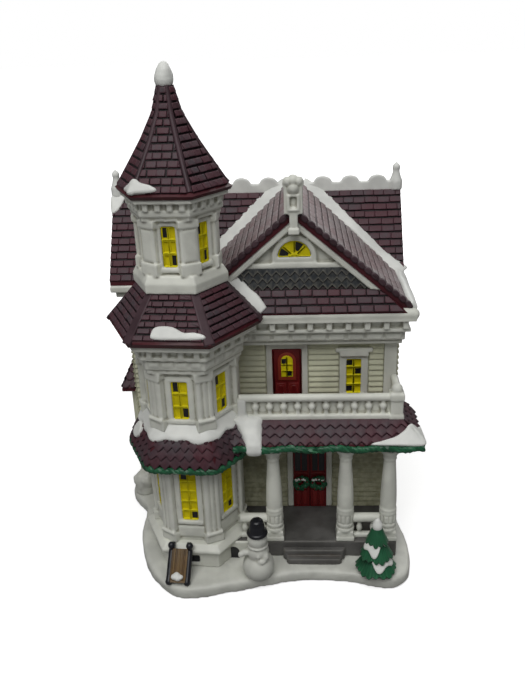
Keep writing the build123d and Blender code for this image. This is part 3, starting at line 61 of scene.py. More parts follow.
sill_low, sill_high, sill_attic = 28.0, 81.0, 132.0
window_wide, window_tall, window_sunk = 9.6, 18.4, 0.7
side_windows, rear_windows, balcony_window = (-3.3, 44.0), (-54.0, 0.0, 54.0), 48.2
facing_front, facing_rear, facing_left, facing_right = (1, 0, 0), (-1, 0, 0), (0, -1, 0), (0, 1, 0)


# Shaders
class Shader:
    """A principled material put together from small procedural steps."""

    def __init__(self, name):
        self.material = bpy.data.materials.new(name)
        self.material.use_nodes = True
        self.nodes = self.material.node_tree.nodes
        self.links = self.material.node_tree.links
        self.nodes.clear()
        output = self.nodes.new("ShaderNodeOutputMaterial")
        self.surface = self.nodes.new("ShaderNodeBsdfPrincipled")
        self.links.new(self.surface.outputs[0], output.inputs[0])
        self.coordinates = self.step("TexCoord", output="Object")

    def put(self, socket, value):
        if isinstance(value, bpy.types.NodeSocket):
            self.links.new(value, socket)
        elif socket.type == "RGBA":
            socket.default_value = (*value, 1.0)
        else:
            socket.default_value = value

    def set(self, **inputs):
        for name, value in inputs.items():
            self.put(self.surface.inputs[name.replace("_", " ")], value)

    def step(self, kind, inputs=(), output=0, **settings):
        """One node with its settings and inputs, and the output that is wanted."""
        node = self.nodes.new("ShaderNode" + kind)
        for name, value in settings.items():
            setattr(node, name, value)
        for socket, value in inputs:
            self.put(node.inputs[socket], value)
        return node.outputs[output]

    def attribute(self, name):
        return self.step("Attribute", output="Fac", attribute_name=name)

    def noise(self, scale, detail=4.0, rough=0.55, stretch=(1.0, 1.0, 1.0)):
        vector = self.step("Mapping", [("Vector", self.coordinates), ("Scale", stretch)])
        inputs = [("Vector", vector), ("Scale", scale), ("Detail", detail), ("Roughness", rough)]
        return self.step("TexNoise", inputs, "Fac")

    def ease(self, value, start, end, low=0.0, high=1.0):
        limits = [("From Min", start), ("From Max", end), ("To Min", low), ("To Max", high)]
        return self.step("MapRange", [("Value", value), *limits], interpolation_type="SMOOTHSTEP")

    def sum(self, kind, first, second):
        return self.step("Math", [(0, first), (1, second)], operation=kind)

    def mix(self, share, first, second):
        return self.step("Mix", [(0, share), (6, first), (7, second)], 2, data_type="RGBA")

    def bump(self, value, strength, distance):
        inputs = [("Strength", strength), ("Distance", distance), ("Height", value)]
        self.set(Normal=self.step("Bump", inputs))


def glaze(name, base, wash_and_shade, edge, rough=0.4, wash_and_shade_share=0.7, edge_share=0.3, shine=0.3, vary=0.1):
    """Glazed ceramic: a wash and painted shade in the corners, edges painted lighter as dry-brushed paint and
    painted highlight, and a soft shine.
    """
    shader = Shader(name)
    cavity = shader.attribute("cavity")
    cloud = shader.noise(70.0, 3.0)
    brush = shader.noise(420.0, 4.0, 0.6)
    dark = tuple(channel * (1 - vary) for channel in base)
    light = tuple(min(1.0, channel * (1 + vary)) for channel in base)
    colour = shader.mix(shader.ease(cloud, 0.35, 0.65), dark, light)
    colour = shader.mix(shader.ease(shader.attribute("tone"), 0.0, 1.0, 0.0, vary), colour, edge)
    # Hollows are darkened towards the wash colour: painted shade, together with a wash.
    hollow = shader.ease(cavity, 0.5, 0.18, 0.0, wash_and_shade_share)
    hollow = shader.sum("MULTIPLY", hollow, shader.ease(brush, 0.25, 0.7, 0.45, 1.0))
    colour = shader.mix(hollow, colour, wash_and_shade)
    # Proud edges are painted lighter: dry-brushed paint that also stands as a painted highlight.
    proud = shader.ease(cavity, 0.56, 0.82, 0.0, edge_share)
    proud = shader.sum("MULTIPLY", proud, shader.ease(brush, 0.35, 0.65, 0.3, 1.0))
    shader.set(Base_Color=shader.mix(proud, colour, edge), Specular_IOR_Level=shine)
    shader.set(Roughness=shader.ease(cloud, 0.3, 0.7, rough - 0.06, rough + 0.08))
    shader.bump(shader.noise(900.0, 3.0), 0.25, 0.00012)
    return shader.material


def tile_paint(name, red, grey, groove, edge, edge_share=0.5):
    """Roof tiles: charcoal and burgundy paint, uneven from tile to tile, with grooves painted dark as joints
    and painted shade, and proud edges painted lighter as a painted highlight.
    """
    shader = Shader(name)
    cavity = shader.attribute("cavity")
    tone = shader.ease(shader.attribute("tone"), 0.0, 1.0, 0.0, 0.4)
    cloud = shader.ease(shader.noise(55.0, 3.0), 0.35, 0.65, 0.0, 0.6)
    brush = shader.noise(650.0, 4.0, 0.65, (1.0, 1.0, 0.5))
    colour = shader.mix(shader.sum("ADD", cloud, tone), red, grey)
    colour = shader.mix(shader.ease(brush, 0.4, 0.75, 0.0, 0.35), colour, edge)
    # Proud edges painted lighter as a painted highlight, with dry-brushed paint.
    colour = shader.mix(shader.ease(cavity, 0.6, 0.8, 0.0, edge_share), colour, edge)
    # Grooves painted dark: painted shade, together with dark joints.
    colour = shader.mix(shader.ease(cavity, 0.45, 0.12), colour, groove)
    shader.set(Base_Color=colour, Specular_IOR_Level=0.22)
    shader.set(Roughness=shader.ease(brush, 0.3, 0.7, 0.38, 0.52))
    shader.bump(shader.noise(1300.0, 3.0), 0.35, 0.0001)
    return shader.material


def plain(name, base, rough, metal=0.0, clear=0.0):
    """A part of the lamp: an even finish with faint handling marks."""
    shader = Shader(name)
    marks = shader.noise(300.0, 4.0)
    worn = tuple(channel * 0.85 for channel in base)
    shader.set(Base_Color=shader.mix(marks, base, worn), Metallic=metal, Transmission_Weight=clear)
    shader.set(Roughness=shader.ease(marks, 0.3, 0.7, rough, rough + 0.1))
    return shader.material


white = glaze(
    "white_ceramic", (0.67, 0.678, 0.605), (0.24, 0.225, 0.165), (0.8, 0.8, 0.75), wash_and_shade_share=0.85
)
# Snow on the base and figures: the snow colour with a grey-cream tint, made darker as painted shade because
# they sit low, far from the light.
tinted_shaded_snow = glaze("base_ceramic", (0.58, 0.585, 0.53), (0.33, 0.315, 0.25), (0.68, 0.68, 0.63), wash_and_shade_share=0.6)
snow = glaze("snow_ceramic", (0.74, 0.75, 0.71), (0.45, 0.44, 0.37), (0.84, 0.84, 0.81), wash_and_shade_share=0.5)
cream = glaze("cream_ceramic", (0.635, 0.64, 0.47), (0.155, 0.14, 0.055), (0.76, 0.76, 0.6), rough=0.44)
plum = tile_paint(
    "plum_tiles", (0.07, 0.02, 0.028), (0.06, 0.047, 0.054), (0.007, 0.002, 0.003), (0.13, 0.055, 0.068)
)
pink = tile_paint(
    "brushed_tiles", (0.19, 0.116, 0.121), (0.245, 0.212, 0.212), (0.05, 0.03, 0.033), (0.42, 0.37, 0.365)
)
slate_blue = tile_paint(
    "blue_scales", (0.026, 0.029, 0.031), (0.045, 0.05, 0.055), (0.002, 0.002, 0.002), (0.23, 0.22, 0.185),
    edge_share=0.75,
)
hip = glaze(
    "hip_paint", (0.05, 0.027, 0.033), (0.02, 0.008, 0.01), (0.08, 0.046, 0.054), rough=0.45, vary=0.25
)
maroon = glaze("maroon_edge", (0.055, 0.007, 0.011), (0.01, 0.002, 0.003), (0.11, 0.02, 0.028), vary=0.25)
yellow = glaze(
    "yellow_panes", (0.72, 0.62, 0.006), (0.4, 0.32, 0.002), (0.88, 0.8, 0.03), rough=0.38, shine=0.15,
    edge_share=0.7, vary=0.12,
)
black = glaze(
    "black_gloss", (0.008, 0.008, 0.011), (0.003, 0.003, 0.004), (0.035, 0.037, 0.045), rough=0.32, shine=0.4
)
red = glaze("red_doors", (0.135, 0.008, 0.009), (0.016, 0.001, 0.001), (0.27, 0.035, 0.03), 0.36, vary=0.2)
orange = glaze("arch_paint", (0.26, 0.035, 0.018), (0.04, 0.004, 0.003), (0.42, 0.09, 0.05), rough=0.36)
green = glaze(
    "green_leaves", (0.012, 0.08, 0.036), (0.002, 0.015, 0.009), (0.045, 0.19, 0.09), rough=0.32,
    edge_share=0.7, vary=0.3,
)
slate = glaze("slate_floor", (0.09, 0.088, 0.086), (0.05, 0.038, 0.024), (0.17, 0.16, 0.135), 0.44, vary=0.3)
brown = glaze("sled_wood", (0.115, 0.06, 0.019), (0.02, 0.009, 0.003), (0.28, 0.18, 0.065), 0.42, vary=0.45)


# Building blocks
def mesh_values(items, name, width=3, kind=float):
    """One value of all points, edges or corners of a mesh, in rows."""
    rows = np.empty(len(items) * width, dtype=kind)
    items.foreach_get(name, rows)
    return rows.reshape(-1, width)


def unit(vector):
    vector = np.array(vector, dtype=float)
    return vector / np.linalg.norm(vector)


def arc(start, end, steps):
    """Points on a circle of radius one."""
    turns = [start + (end - start) * step / steps for step in range(steps + 1)]
    return [(math.cos(turn), math.sin(turn)) for turn in turns]


def circle(count):
    return arc(0, 2 * math.pi, count)[:-1]


class Build:
    """Points and faces of one piece, in millimetres, with how hollow and how toned each point is."""

    def __init__(self):
        self.points = []
        self.faces = []
        self.cavity = []
        self.tone = []
        self.slots = []

    def add(self, points, faces, cavity=0.5, tone=0.5, slot=0):
        start = len(self.points)
        self.points.extend(tuple(point) for point in points)
        self.faces.extend(tuple(start + index for index in face) for face in faces)
        self.slots.extend([slot] * len(faces))
        self.cavity.extend(cavity if isinstance(cavity, list) else [cavity] * len(points))
        self.tone.extend([tone] * len(points))

    def rings(self, rings, cavities=None, tone=0.5, slot=0):
        """Skin over a stack of rings of equal length, closed at both ends."""
        size = len(rings[0])
        faces = []
        for low in range(0, (len(rings) - 1) * size, size):
            for index in range(size):
                after = (index + 1) % size
                faces.append((low + index, low + after, low + size + after, low + size + index))
        faces.append(tuple(reversed(range(size))))
        faces.append(tuple(range((len(rings) - 1) * size, len(rings) * size)))
        cavity = [value for value in cavities or [0.5] * len(rings) for _ in range(size)]
        self.add([point for ring in rings for point in ring], faces, cavity, tone, slot)

    def sweep(self, sections, shades=None, tones=None, closed=False):
        """Skin along a line of equal sections, joined round or closed at both ends."""
        size, count = len(sections[0]), len(sections)
        faces = []
        for step in range(count if closed else count - 1):
            here = step * size
            after = (step + 1) % count * size
            for index in range(size):
                beside = (index + 1) % size
                faces.append((here + index, after + index, after + beside, here + beside))
        if not closed:
            faces.append(tuple(range(size)))
            faces.append(tuple(reversed(range((count - 1) * size, count * size))))
        start = len(self.points)
        cavity = list(shades or [0.5] * size) * count
        self.add([point for section in sections for point in section], faces, cavity)
        self.tone[start:] = [tone for tone in tones or [0.5] * count for _ in range(size)]

    def cad(self, *nodes, slot=0):
        """The CAD nodes' own triangles, welded."""
        for node in nodes:
            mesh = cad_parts[node].data
            corners = np.round(mesh_values(mesh.vertices, "co") / MM, 3)
            places, index = np.unique(corners, axis=0, return_inverse=True)
            loops = mesh_values(mesh.loops, "vertex_index", 1, np.int32).reshape(-1)
            faces = index.reshape(-1)[loops].reshape(-1, 3)
            kept = (faces != np.roll(faces, 1, axis=1)).all(axis=1)
            self.add(places.tolist(), faces[kept].tolist(), slot=slot)
        return self

    def ball(self, centre, radii, slot=0, around=16, up=10):
        """An ellipsoid."""
        radii = np.array(radii, dtype=float) * np.ones(3)
        rings = []
        for level in range(1, up):
            tilt = math.pi * (level / up - 0.5)
            ways = [(math.cos(tilt) * x, math.cos(tilt) * y, math.sin(tilt)) for x, y in circle(around)]
            rings.append([np.array(centre) + radii * np.array(way) for way in ways])
        self.rings(rings, slot=slot)

    def block(self, low, high, bevel):
        """A box with soft upright and upper edges."""
        outline = rectangle(0, 0, high[0] - low[0], high[1] - low[1])
        tile(self, flat(low, (1, 0, 0), (0, 1, 0)), outline, high[2] - low[2], bevel, sink=0)

    def lathe(self, centre, profile, around=40):
        """A turned piece through pairs of radius and height."""
        rings = []
        for radius, height in profile:
            ways = [(radius * x, radius * y) for x, y in circle(around)]
            rings.append([(centre[0] + x, centre[1] + y, height) for x, y in ways])
        self.rings(rings)

    def tube(self, path, radius, around=10, slot=0, rough=0.0):
        """A rope along a path, with an uneven skin."""
        path = [np.array(point, dtype=float) for point in path]
        rings = []
        for index, point in enumerate(path):
            ahead = unit(path[min(index + 1, len(path) - 1)] - path[max(index - 1, 0)])
            side = unit(np.cross(ahead, (0, 0, 1.0)))
            up = np.cross(side, ahead)
            ring = []
            for x, y in circle(around):
                reach = radius * (1 + dice.uniform(-rough, rough))
                ring.append(point - reach * x * side + reach * y * up)
            rings.append(ring)
        cavities = [dice.uniform(0.35, 0.75) if rough else 0.5 for _ in rings]
        self.rings(rings, cavities, dice.random(), slot)


def flat(origin, right, up):
    """A flat surface: a point and normal for each pair of distances along it."""
    origin, right, up = np.array(origin, dtype=float), unit(right), unit(up)
    normal = np.cross(right, up)
    return lambda s, t: (origin + right * s + up * t, normal)


def upright(x, y, right=facing_front, height=0.0):
    """An upright flat surface."""
    return flat((x, y, height), right, (0, 0, 1))


def rectangle(left, low, right, high):
    return [(left, low), (right, low), (right, high), (left, high)]


def trapezoid(half_low, half_high, low, high):
    return [(-half_low, low), (half_low, low), (half_high, high), (-half_high, high)]


def extent(outline):
    along, up = zip(*outline)
    return min(along), min(up), max(along), max(up)


def area(outline):
    total = 0.0
    for (x0, y0), (x1, y1) in zip(outline, outline[1:] + outline[:1]):
        total += x0 * y1 - x1 * y0
    return total / 2


def inset(outline, distance):
    """A convex outline, moved inwards."""
    points = [np.array(point, dtype=float) for point in outline]
    centre = sum(points) / len(points)
    result = []
    for index, here in enumerate(points):
        into = here - points[index - 1]
        out = points[(index + 1) % len(points)] - here
        if np.linalg.norm(into) * np.linalg.norm(out) < 1e-9:
            result.append(tuple(here))
            continue
        into, out = unit(into), unit(out)
        first = np.array((-into[1], into[0]))
        second = np.array((-out[1], out[0]))
        move = distance * (first + second) / max(0.4, 1 + float(first @ second))
        limit = 0.45 * np.linalg.norm(centre - here)
        length = np.linalg.norm(move)
        result.append(tuple(here + (move * limit / length if length > limit else move)))
    return result


def clip(outline, region):
    """The part of an outline inside a convex region."""
    result = list(outline)
    for index, start in enumerate(region):
        end = region[(index + 1) % len(region)]
        along = (end[0] - start[0], end[1] - start[1])
        points, result = result, []
        for place, here in enumerate(points):
            before = points[place - 1]
            side = along[0] * (here[1] - start[1]) - along[1] * (here[0] - start[0])
            side_before = along[0] * (before[1] - start[1]) - along[1] * (before[0] - start[0])
            if side * side_before < 0:
                share = side_before / (side_before - side)
                result.append(tuple(b + (h - b) * share for b, h in zip(before, here)))
            if side >= 0:
                result.append(here)
    return result


# How hollow a tile's rings are taken to be, from its foot to its middle: values below a half give painted
# shade, values above a half a lighter painted highlight
grooved = (0.0, 0.3, 0.72, 0.7, 0.55)
painted = (0.4, 0.5, 0.7, 0.75, 0.7)
lapped = (0.1, 0.36, 0.58, 0.6, 0.55)
shaded = (0.0, 0.1, 0.22, 0.24, 0.22)
rolled = (0.2, 0.35, 0.55, 0.6, 0.55)
toothed = (0.0, 0.1, 0.66, 0.57, 0.45, 0.2)
edged = (0.0, 0.1, 0.85, 0.68, 0.42, 0.1)


def tile(build, surface, outline, lift, bevel, tone=0.5, slot=0, sink=0.5, span=None, shades=grooved):
    """A raised outline with soft edges; a pair as lift is its height at the foot and at the head."""
    low, high = lift if isinstance(lift, tuple) else (lift, lift)
    _, foot, _, head = extent(outline)
    foot, head = span or (foot, head)
    loops = (outline, outline, inset(outline, bevel * 0.35), inset(outline, bevel), inset(outline, bevel * 2))
    rings = []
    for loop, drop in zip(loops, (None, bevel, bevel * 0.3, 0.0, 0.0)):
        ring = []
        for s, t in loop:
            point, normal = surface(s, t)
            share = (t - foot) / max(1e-6, head - foot)
            rise = -sink if drop is None else low + (high - low) * share - drop
            ring.append(point + normal * rise)
        rings.append(ring)
    build.rings(rings, shades, tone, slot)


# A sheet under the tiles, painted dark as the shade that falls in the open joints.
def painted_shade_bed(build, surface, region):
    tile(build, surface, region, 0.12, 0.04, shades=[0.0] * 5)


def courses(build, surface, region, course, width, low=1.1, high=0.75, gap=0.3, lap=0.82):
    """Rows of tiles with open joints over a convex region, on a bed painted dark as shade in the joints."""
    left, foot, right, head = extent(region)
    painted_shade_bed(build, surface, region)
    for row in range(int(round((head - foot) / course))):
        low_t = foot + row * course
        high_t = low_t + course * lap
        s = left - width * (1 + (row % 2) / 2 + dice.uniform(-0.15, 0.15))
        while s < right:
            wide = width * dice.uniform(0.86, 1.14)
            shift = dice.uniform(-0.12, 0.12)
            shape = rectangle(s + gap / 2, low_t + shift, s + wide - gap / 2, high_t + shift)
            shape = clip(shape, region)
            if area(shape) > 0.12 * course * width:
                rise = low * dice.uniform(0.85, 1.15)
                tile(build, surface, shape, (rise, high), 0.3, dice.random(), span=(low_t, high_t))
            s += wide


def hipped(near, far, near_fall, far_fall):
    """Limits of a row that close in on the hips, higher up the slope."""
    return lambda t: (near + near_fall * t, far - far_fall * t)


def teeth(
    build, surface, span, rows, width, depth, low, limits=None, rounded=False, closed=False, shades=toothed
):
    """Rows of pointed or rounded tiles, each row a strip with a toothed foot; limits keep it inside a hip."""
    start, end = span
    steps = 8
    count = max(2, round((end - start) / width))
    for row in range(len(rows) - 1):
        head = rows[row + 1] + depth
        tones = [dice.random() for _ in range(count + 2)]
        sections = []
        for step in range(count * steps + (0 if closed else 1)):
            s = start + (end - start) * step / (count * steps)
            side = abs(2 * ((step / steps + row / 2) % 1) - 1)
            edge = rows[row] + depth * (1 - math.sqrt(1 - side * side) if rounded else side)
            swell = low * (1 - 0.25 * side)
            profile = [(edge, -0.6), (edge, swell - 0.4), (edge + 0.25, swell - 0.08), (edge + 0.8, swell)]
            section = []
            for t, lift in profile + [(head, 0.2), (head, -0.6)]:
                near, far = limits(t) if limits else span
                point, normal = surface(s if closed else min(max(s, near), far), t)
                section.append(point + normal * lift)
            sections.append(section)
        shared = [tones[int(step / steps + row / 2)] for step in range(len(sections))]
        build.sweep(sections, shades, shared, closed)


def smooth_loop(points, steps=6):
    """A rounded closed line through a few points."""
    points = [np.array(point, dtype=float) for point in points]
    result = []
    for index in range(len(points)):
        p0, p1, p2, p3 = (points[(index + shift) % len(points)] for shift in (-1, 0, 1, 2))
        for step in range(steps):
            t = step / steps
            curve = 2 * p1 + (p2 - p0) * t + (2 * p0 - 5 * p1 + 4 * p2 - p3) * t * t
            result.append(tuple((curve + (3 * p1 - p0 - 3 * p2 + p3) * t ** 3) / 2))
    return result


def patch(build, surface, thick, *points):
    """A patch of snow with a rounded edge, inside a loop through the given points."""
    tile(build, surface, smooth_loop(points), thick, 0.75, sink=0.6)


def ribbon(build, points, normal, widths, thick, steps=8):
    """A band of snow along a path, with rounded edges; the widths are half widths."""
    points = np.array(points, dtype=float)
    stops = np.arange(len(points))
    marks = np.linspace(0, len(points) - 1, steps * (len(points) - 1) + 1)
    line = np.stack([np.interp(marks, stops, points[:, axis]) for axis in range(3)], axis=1)
    wide = np.interp(marks, stops, widths)
    half_profile = [(1, -0.6), (1, 0.15), (0.9, 0.6), (0.6, 0.95)]
    profile = half_profile + [(0, 1)] + [(-side, rise) for side, rise in reversed(half_profile)]
    rings = []
    for index, point in enumerate(line):
        ahead = line[min(index + 1, len(line) - 1)] - line[max(index - 1, 0)]
        across = unit(np.cross(normal, ahead))
        swell = wide[index] * (1 + 0.07 * math.sin(index * 0.37) + dice.uniform(-0.02, 0.02))
        rings.append([point + across * side * swell + unit(normal) * rise * thick for side, rise in profile])
    build.rings(rings)


def raw_mesh(build, name):
    mesh = bpy.data.meshes.new(name)
    mesh.from_pydata((np.array(build.points) * MM).tolist(), [], build.faces)
    return mesh


def paint_points(mesh, cavity, tone):
    for name, values in (("cavity", cavity), ("tone", tone)):
        layer = mesh.attributes.new(name, "FLOAT", "POINT")
        layer.data.foreach_set("value", np.array(values, dtype=np.float32))


def hollows(mesh, size):
    """How hollow the skin is at each point: below a half in corners, above it on edges."""
    count = len(mesh.vertices)
    places = mesh_values(mesh.vertices, "co") / MM
    normals = mesh_values(mesh.vertex_normals, "vector")
    ends = mesh_values(mesh.edges, "vertices", 2, np.int64)
    near = np.concatenate((ends[:, 0], ends[:, 1]))
    far = np.concatenate((ends[:, 1], ends[:, 0]))
    degree = np.maximum(1, np.bincount(near, minlength=count))

    def around(values):
        return np.bincount(near, weights=values[far], minlength=count) / degree

    middle = np.stack([around(places[:, axis]) for axis in range(3)], axis=1)
    bend = -np.einsum("ij,ij->i", middle - places, normals) / size
    for _ in range(2):
        bend = (bend + 2 * around(bend)) / 3
    return np.clip(0.5 + 4.0 * bend, 0, 1)


def soften(build, name, size, passes=4, uneven=0.0):
    """The piece as one skin, cast and rounded."""
    mesh = raw_mesh(build, name)
    piece = bpy.data.objects.new(name, mesh)
    scene.collection.objects.link(piece)
    remesh = piece.modifiers.new("Cast", "REMESH")
    remesh.mode = "VOXEL"
    remesh.voxel_size = size * MM
    smooth = piece.modifiers.new("Round", "SMOOTH")
    smooth.factor = 0.5
    smooth.iterations = passes
    shaped = piece.evaluated_get(bpy.context.evaluated_depsgraph_get())
    result = bpy.data.meshes.new_from_object(shaped)
    bpy.data.objects.remove(piece)
    bpy.data.meshes.remove(mesh)
    result.name = name
    if uneven:
        places = mesh_values(result.vertices, "co")
        swell = [noise.noise(point * 90) + 0.4 * noise.noise(point * 260) for point in places]
        places += mesh_values(result.vertex_normals, "vector") * np.array(swell)[:, None] * uneven * MM
        result.vertices.foreach_set("co", places.reshape(-1))
        result.update()
    paint_points(result, hollows(result, size), [0.5] * len(result.vertices))
    return result


def sharp(build, name):
    """The piece as built, with its hard edges kept."""
    mesh = raw_mesh(build, name)
    mesh.polygons.foreach_set("material_index", np.array(build.slots, dtype=np.int32))
    paint_points(mesh, build.cavity, build.tone)
    return mesh


def place(mesh, materials, slot, nodes=(), body="house"):
    """Put a finished mesh in the scene in place of CAD nodes."""
    piece = bpy.data.objects.new(mesh.name, mesh)
    scene.collection.objects.link(piece)
    for material in materials:
        mesh.materials.append(material)
    mesh.shade_smooth()
    mesh.set_sharp_from_angle(angle=math.radians(58))
    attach(piece, body)
    if nodes:
        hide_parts(*nodes)


def cast(name, nodes, material, slot, size=1.0, passes=4, extra=None, uneven=0.0):
    """CAD nodes, with what is added to them, as one softened casting."""
    build = Build().cad(*nodes)
    if extra:
        extra(build)
    place(soften(build, name, fine * size, passes, uneven), [material], slot, nodes)


# Tower helpers
tower_faces = (30, 90, 150, 210, 270, 330)
side_faces = tower_faces[2:]
tower_corners = (0, 60, 120, 180, 240, 300)
free_corners = (0, 120, 180, 240, 300)
middle_roof_levels = (35.2, 128.2), (19.8, 145)
spire_foot_levels = (24.4, 187.0), (17.1, 197.3)


def tower_way(angle):
    turn = math.radians(angle + tower_turn)
    return np.array((math.cos(turn), math.sin(turn), 0.0))


def tower_point(radius, angle, height):
    return np.array((tower_x, tower_y, height)) + radius * tower_way(angle)


def tower_flat(angle, distance, height=0.0):
    """An upright surface that faces outwards, centred on a flat or a corner of the tower."""
    return flat(tower_point(distance, angle, height), tower_way(angle + 90), (0, 0, 1))


def tower_slope(angle, low, high, share=apothem):
    """A sloping surface between two levels of corner radius and height, with its length."""
    foot = tower_point(low[0] * share, angle, low[1])
    head = tower_point(high[0] * share, angle, high[1])
    return flat(foot, tower_way(angle + 90), head - foot), float(np.linalg.norm(head - foot))


# Snow base
cast("base_snow", ["base"], tinted_shaded_snow, "snow_ceramic", size=2.0, passes=10, uneven=0.5)

# Walls with clapboards
board_pitch, board_lap = 2.9, 0.4
board_nodes = ["house_walls", "left_gable_end", "right_gable_end"]
boards = Build().cad(*board_nodes)


def clapboard(surface, region, holes=(), shades=lapped):
    """Overlapping boards over a convex region, broken at the holes."""
    left, foot, right, head = extent(region)
    for row in range(int((head - foot) / board_pitch)):
        low = foot + row * board_pitch
        high = low + board_pitch
        runs = [(left, right)]
        for hole_left, hole_low, hole_right, hole_high in holes:
            if hole_low < high and hole_high > low:
                before = [(start, min(end, hole_left)) for start, end in runs]
                after = [(max(start, hole_right), end) for start, end in runs]
                runs = [(start, end) for run in zip(before, after) for start, end in run if end - start > 0.3]
        for start, end in runs:
            shape = clip(rectangle(start, low, end, high + board_lap), region)
            if area(shape) > 0.5:
                span = (low, high + board_lap)
                tile(boards, surface, shape, (1.5, 0.2), 0.8, dice.random(), 0, 0.3, span, shades)


def window_hole(along, sill):
    return (along - 6.9, sill - 2.1, along + 6.9, sill + 20.5)


front_wall = upright(0, wing_front)
left_wall = upright(wall_left, 0, facing_left)
right_wall = upright(wall_right, 0, facing_right)
rear_wall = upright(0, wall_rear, facing_rear)
balcony_holes = [(6, 78, 26.4, 108.4), (41.2, 78, 55.2, 106)]
left_holes = [window_hole(-side_windows[1], sill_high), window_hole(-ridge_y, sill_attic)]
left_holes.append((-65.8, 0, -20.3, 82.2))
right_holes = [window_hole(along, sill) for along in side_windows for sill in (sill_low, sill_high)]
right_holes.append(window_hole(ridge_y, sill_attic))
rear_holes = [window_hole(along, sill_high) for along in rear_windows]
rear_holes += [window_hole(along, sill_low) for along in rear_windows[::2]]
lamp_x, lamp_z, lamp_reach, lamp_step = -0.5, 38.0, 15.6, 3.0
for step in range(-5, 6):
    half = math.sqrt(max(0.0, lamp_reach ** 2 - (lamp_step * max(0, abs(step) - 0.5)) ** 2))
    level = lamp_z + lamp_step * step
    rear_holes.append((lamp_x - half, level - lamp_step / 2, lamp_x + half, level + lamp_step / 2))
end_eave, end_top = 129.5, 163.4
gable_end = [(main_front, wall_head), (wall_rear, wall_head), (wall_rear, end_eave), (ridge_y, end_top)]
gable_end.append((main_front, end_eave))
left_end = [(-gable_end[index][0], gable_end[index][1]) for index in (1, 0, 4, 3, 2)]
clapboard(front_wall, rectangle(-18, porch_top, 68, 66), [(15, 0, 38.2, 53.2)], shaded)
clapboard(front_wall, rectangle(-18, balcony_floor, 62.5, 109.6), balcony_holes)
clapboard(upright(wing_left, 0, facing_left), rectangle(-main_front, wall_foot, -wing_front, wall_head))
clapboard(upright(0, main_front), rectangle(wall_left, wall_foot, wing_left, 120))
clapboard(left_wall, rectangle(-wall_rear, wall_foot, -main_front, wall_head), left_holes)
clapboard(left_wall, left_end, left_holes)
clapboard(right_wall, rectangle(wing_front, wall_foot, main_front, 109.6), right_holes)
clapboard(right_wall, rectangle(main_front, wall_foot, wall_rear, wall_head), right_holes)
clapboard(right_wall, gable_end, right_holes)
clapboard(rear_wall, rectangle(-wall_right, wall_foot, -wall_left, 120), rear_holes)
place(sharp(boards, "house_boards"), [cream], "cream_ceramic", board_nodes)

# Main roof, both slopes, tiled except under the gable
main_up = (0, ridge_y - main_eave_y, ridge_z - main_eave_z)
main_roof = Build().cad("main_roof", slot=1)
main_length, main_head = roof_right - roof_left, 47.2
front_slope = flat((roof_left, main_eave_y, main_eave_z), facing_front, main_up)
rear_eave = (roof_right, 2 * ridge_y - main_eave_y, main_eave_z)
rear_slope = flat(rear_eave, facing_rear, (0, -main_up[1], main_up[2]))
for surface, region in (
    (front_slope, [(0, 0), (42.7, 0), (88.3, main_head), (0, main_head)]),
    (front_slope, [(147.2, 0), (main_length, 0), (main_length, main_head), (101.6, main_head)]),
    (rear_slope, rectangle(0, 0, main_length, main_head)),
):
    courses(main_roof, surface, region, 3.93, 5.8, gap=0.14, lap=0.8)
place(sharp(main_roof, "main_roof_tiles"), [plum, maroon], "plum_ceramic", ["main_roof"])

# Gable roof, with the tiles' ends as lumps along its front edge
wing_roof = Build().cad("wing_roof", slot=1)
right_eave = (gable_x + gable_half, gable_front, gable_eave)
left_eave = (gable_x - gable_half, ridge_y, gable_eave)
right_slope = flat(right_eave, facing_right, (-gable_half, 0, gable_rise))
left_slope = flat(left_eave, facing_left, (gable_half, 0, gable_rise))
gable_head = gable_length - 0.5
for surface, region in (
    (right_slope, [(0, 0), (44.6, 0), (70.8, 57.5), (70.8, gable_head), (0, gable_head)]),
    (left_slope, [(28.1, 0), (72.8, 0), (72.8, gable_head), (2, gable_head), (2, 57.5)]),
):
    courses(wing_roof, surface, region, 4.05, 8.4, low=0.75, high=0.4, gap=0.5, lap=0.68)
lump_count = 17
for start_x, start_z, rise in (
    (gable_x, gable_ridge, -gable_rise),
    (gable_x - gable_half, gable_eave, gable_rise),
):
    surface = flat((start_x, gable_front, start_z), (gable_half, 0, rise), (-rise, 0, gable_half))
    for step in range(lump_count):
        along = (step + 0.5) * gable_length / lump_count
        reach = 2.3 + dice.uniform(-0.15, 0.2)
        lump = [(along + reach * x, 1.25 * y - 0.1) for x, y in circle(14)]
        tile(wing_roof, surface, lump, (0.8, 0.6), 0.5, dice.random(), 2, 1.5, shades=rolled)
place(sharp(wing_roof, "gable_roof_tiles"), [pink, maroon, hip], "plum_ceramic", ["wing_roof"])

# Pent roof and scale band in the gable
pent_left, pent_head = -8, 11.2
pent = Build().cad("pent_roof", slot=1)
pent_slope = flat((0, gutter_front, gutter_top + 1), facing_front, (0, 5.3, 10.1))
pent_region = [(pent_left, 0), (69, 0), (58, pent_head), (pent_left, pent_head)]
courses(pent, pent_slope, pent_region, 3.75, 6.2, gap=0.4, lap=0.78)
place(sharp(pent, "pent_roof_tiles"), [plum, maroon], "plum_ceramic", ["pent_roof"])
scales = Build()
scale_wall = upright(0, -25.6)
scale_foot, scale_head, scale_right = 138.2, 147.6, 58
scale_band = [(pent_left, scale_foot), (scale_right, scale_foot), (47.4, scale_head), (pent_left, scale_head)]
tile(scales, scale_wall, scale_band, 0.1, 0.1, sink=1.1)
teeth(
    scales, scale_wall, (pent_left, scale_right), (137.6, 140.8, 144.0, 146.6), 4.1, 2.2, 1.5,
    lambda t: (pent_left, scale_right - 1.13 * (t - scale_foot)), shades=edged,
)
place(sharp(scales, "gable_scales"), [slate_blue], "blue_ceramic", ["gable_scallops"])

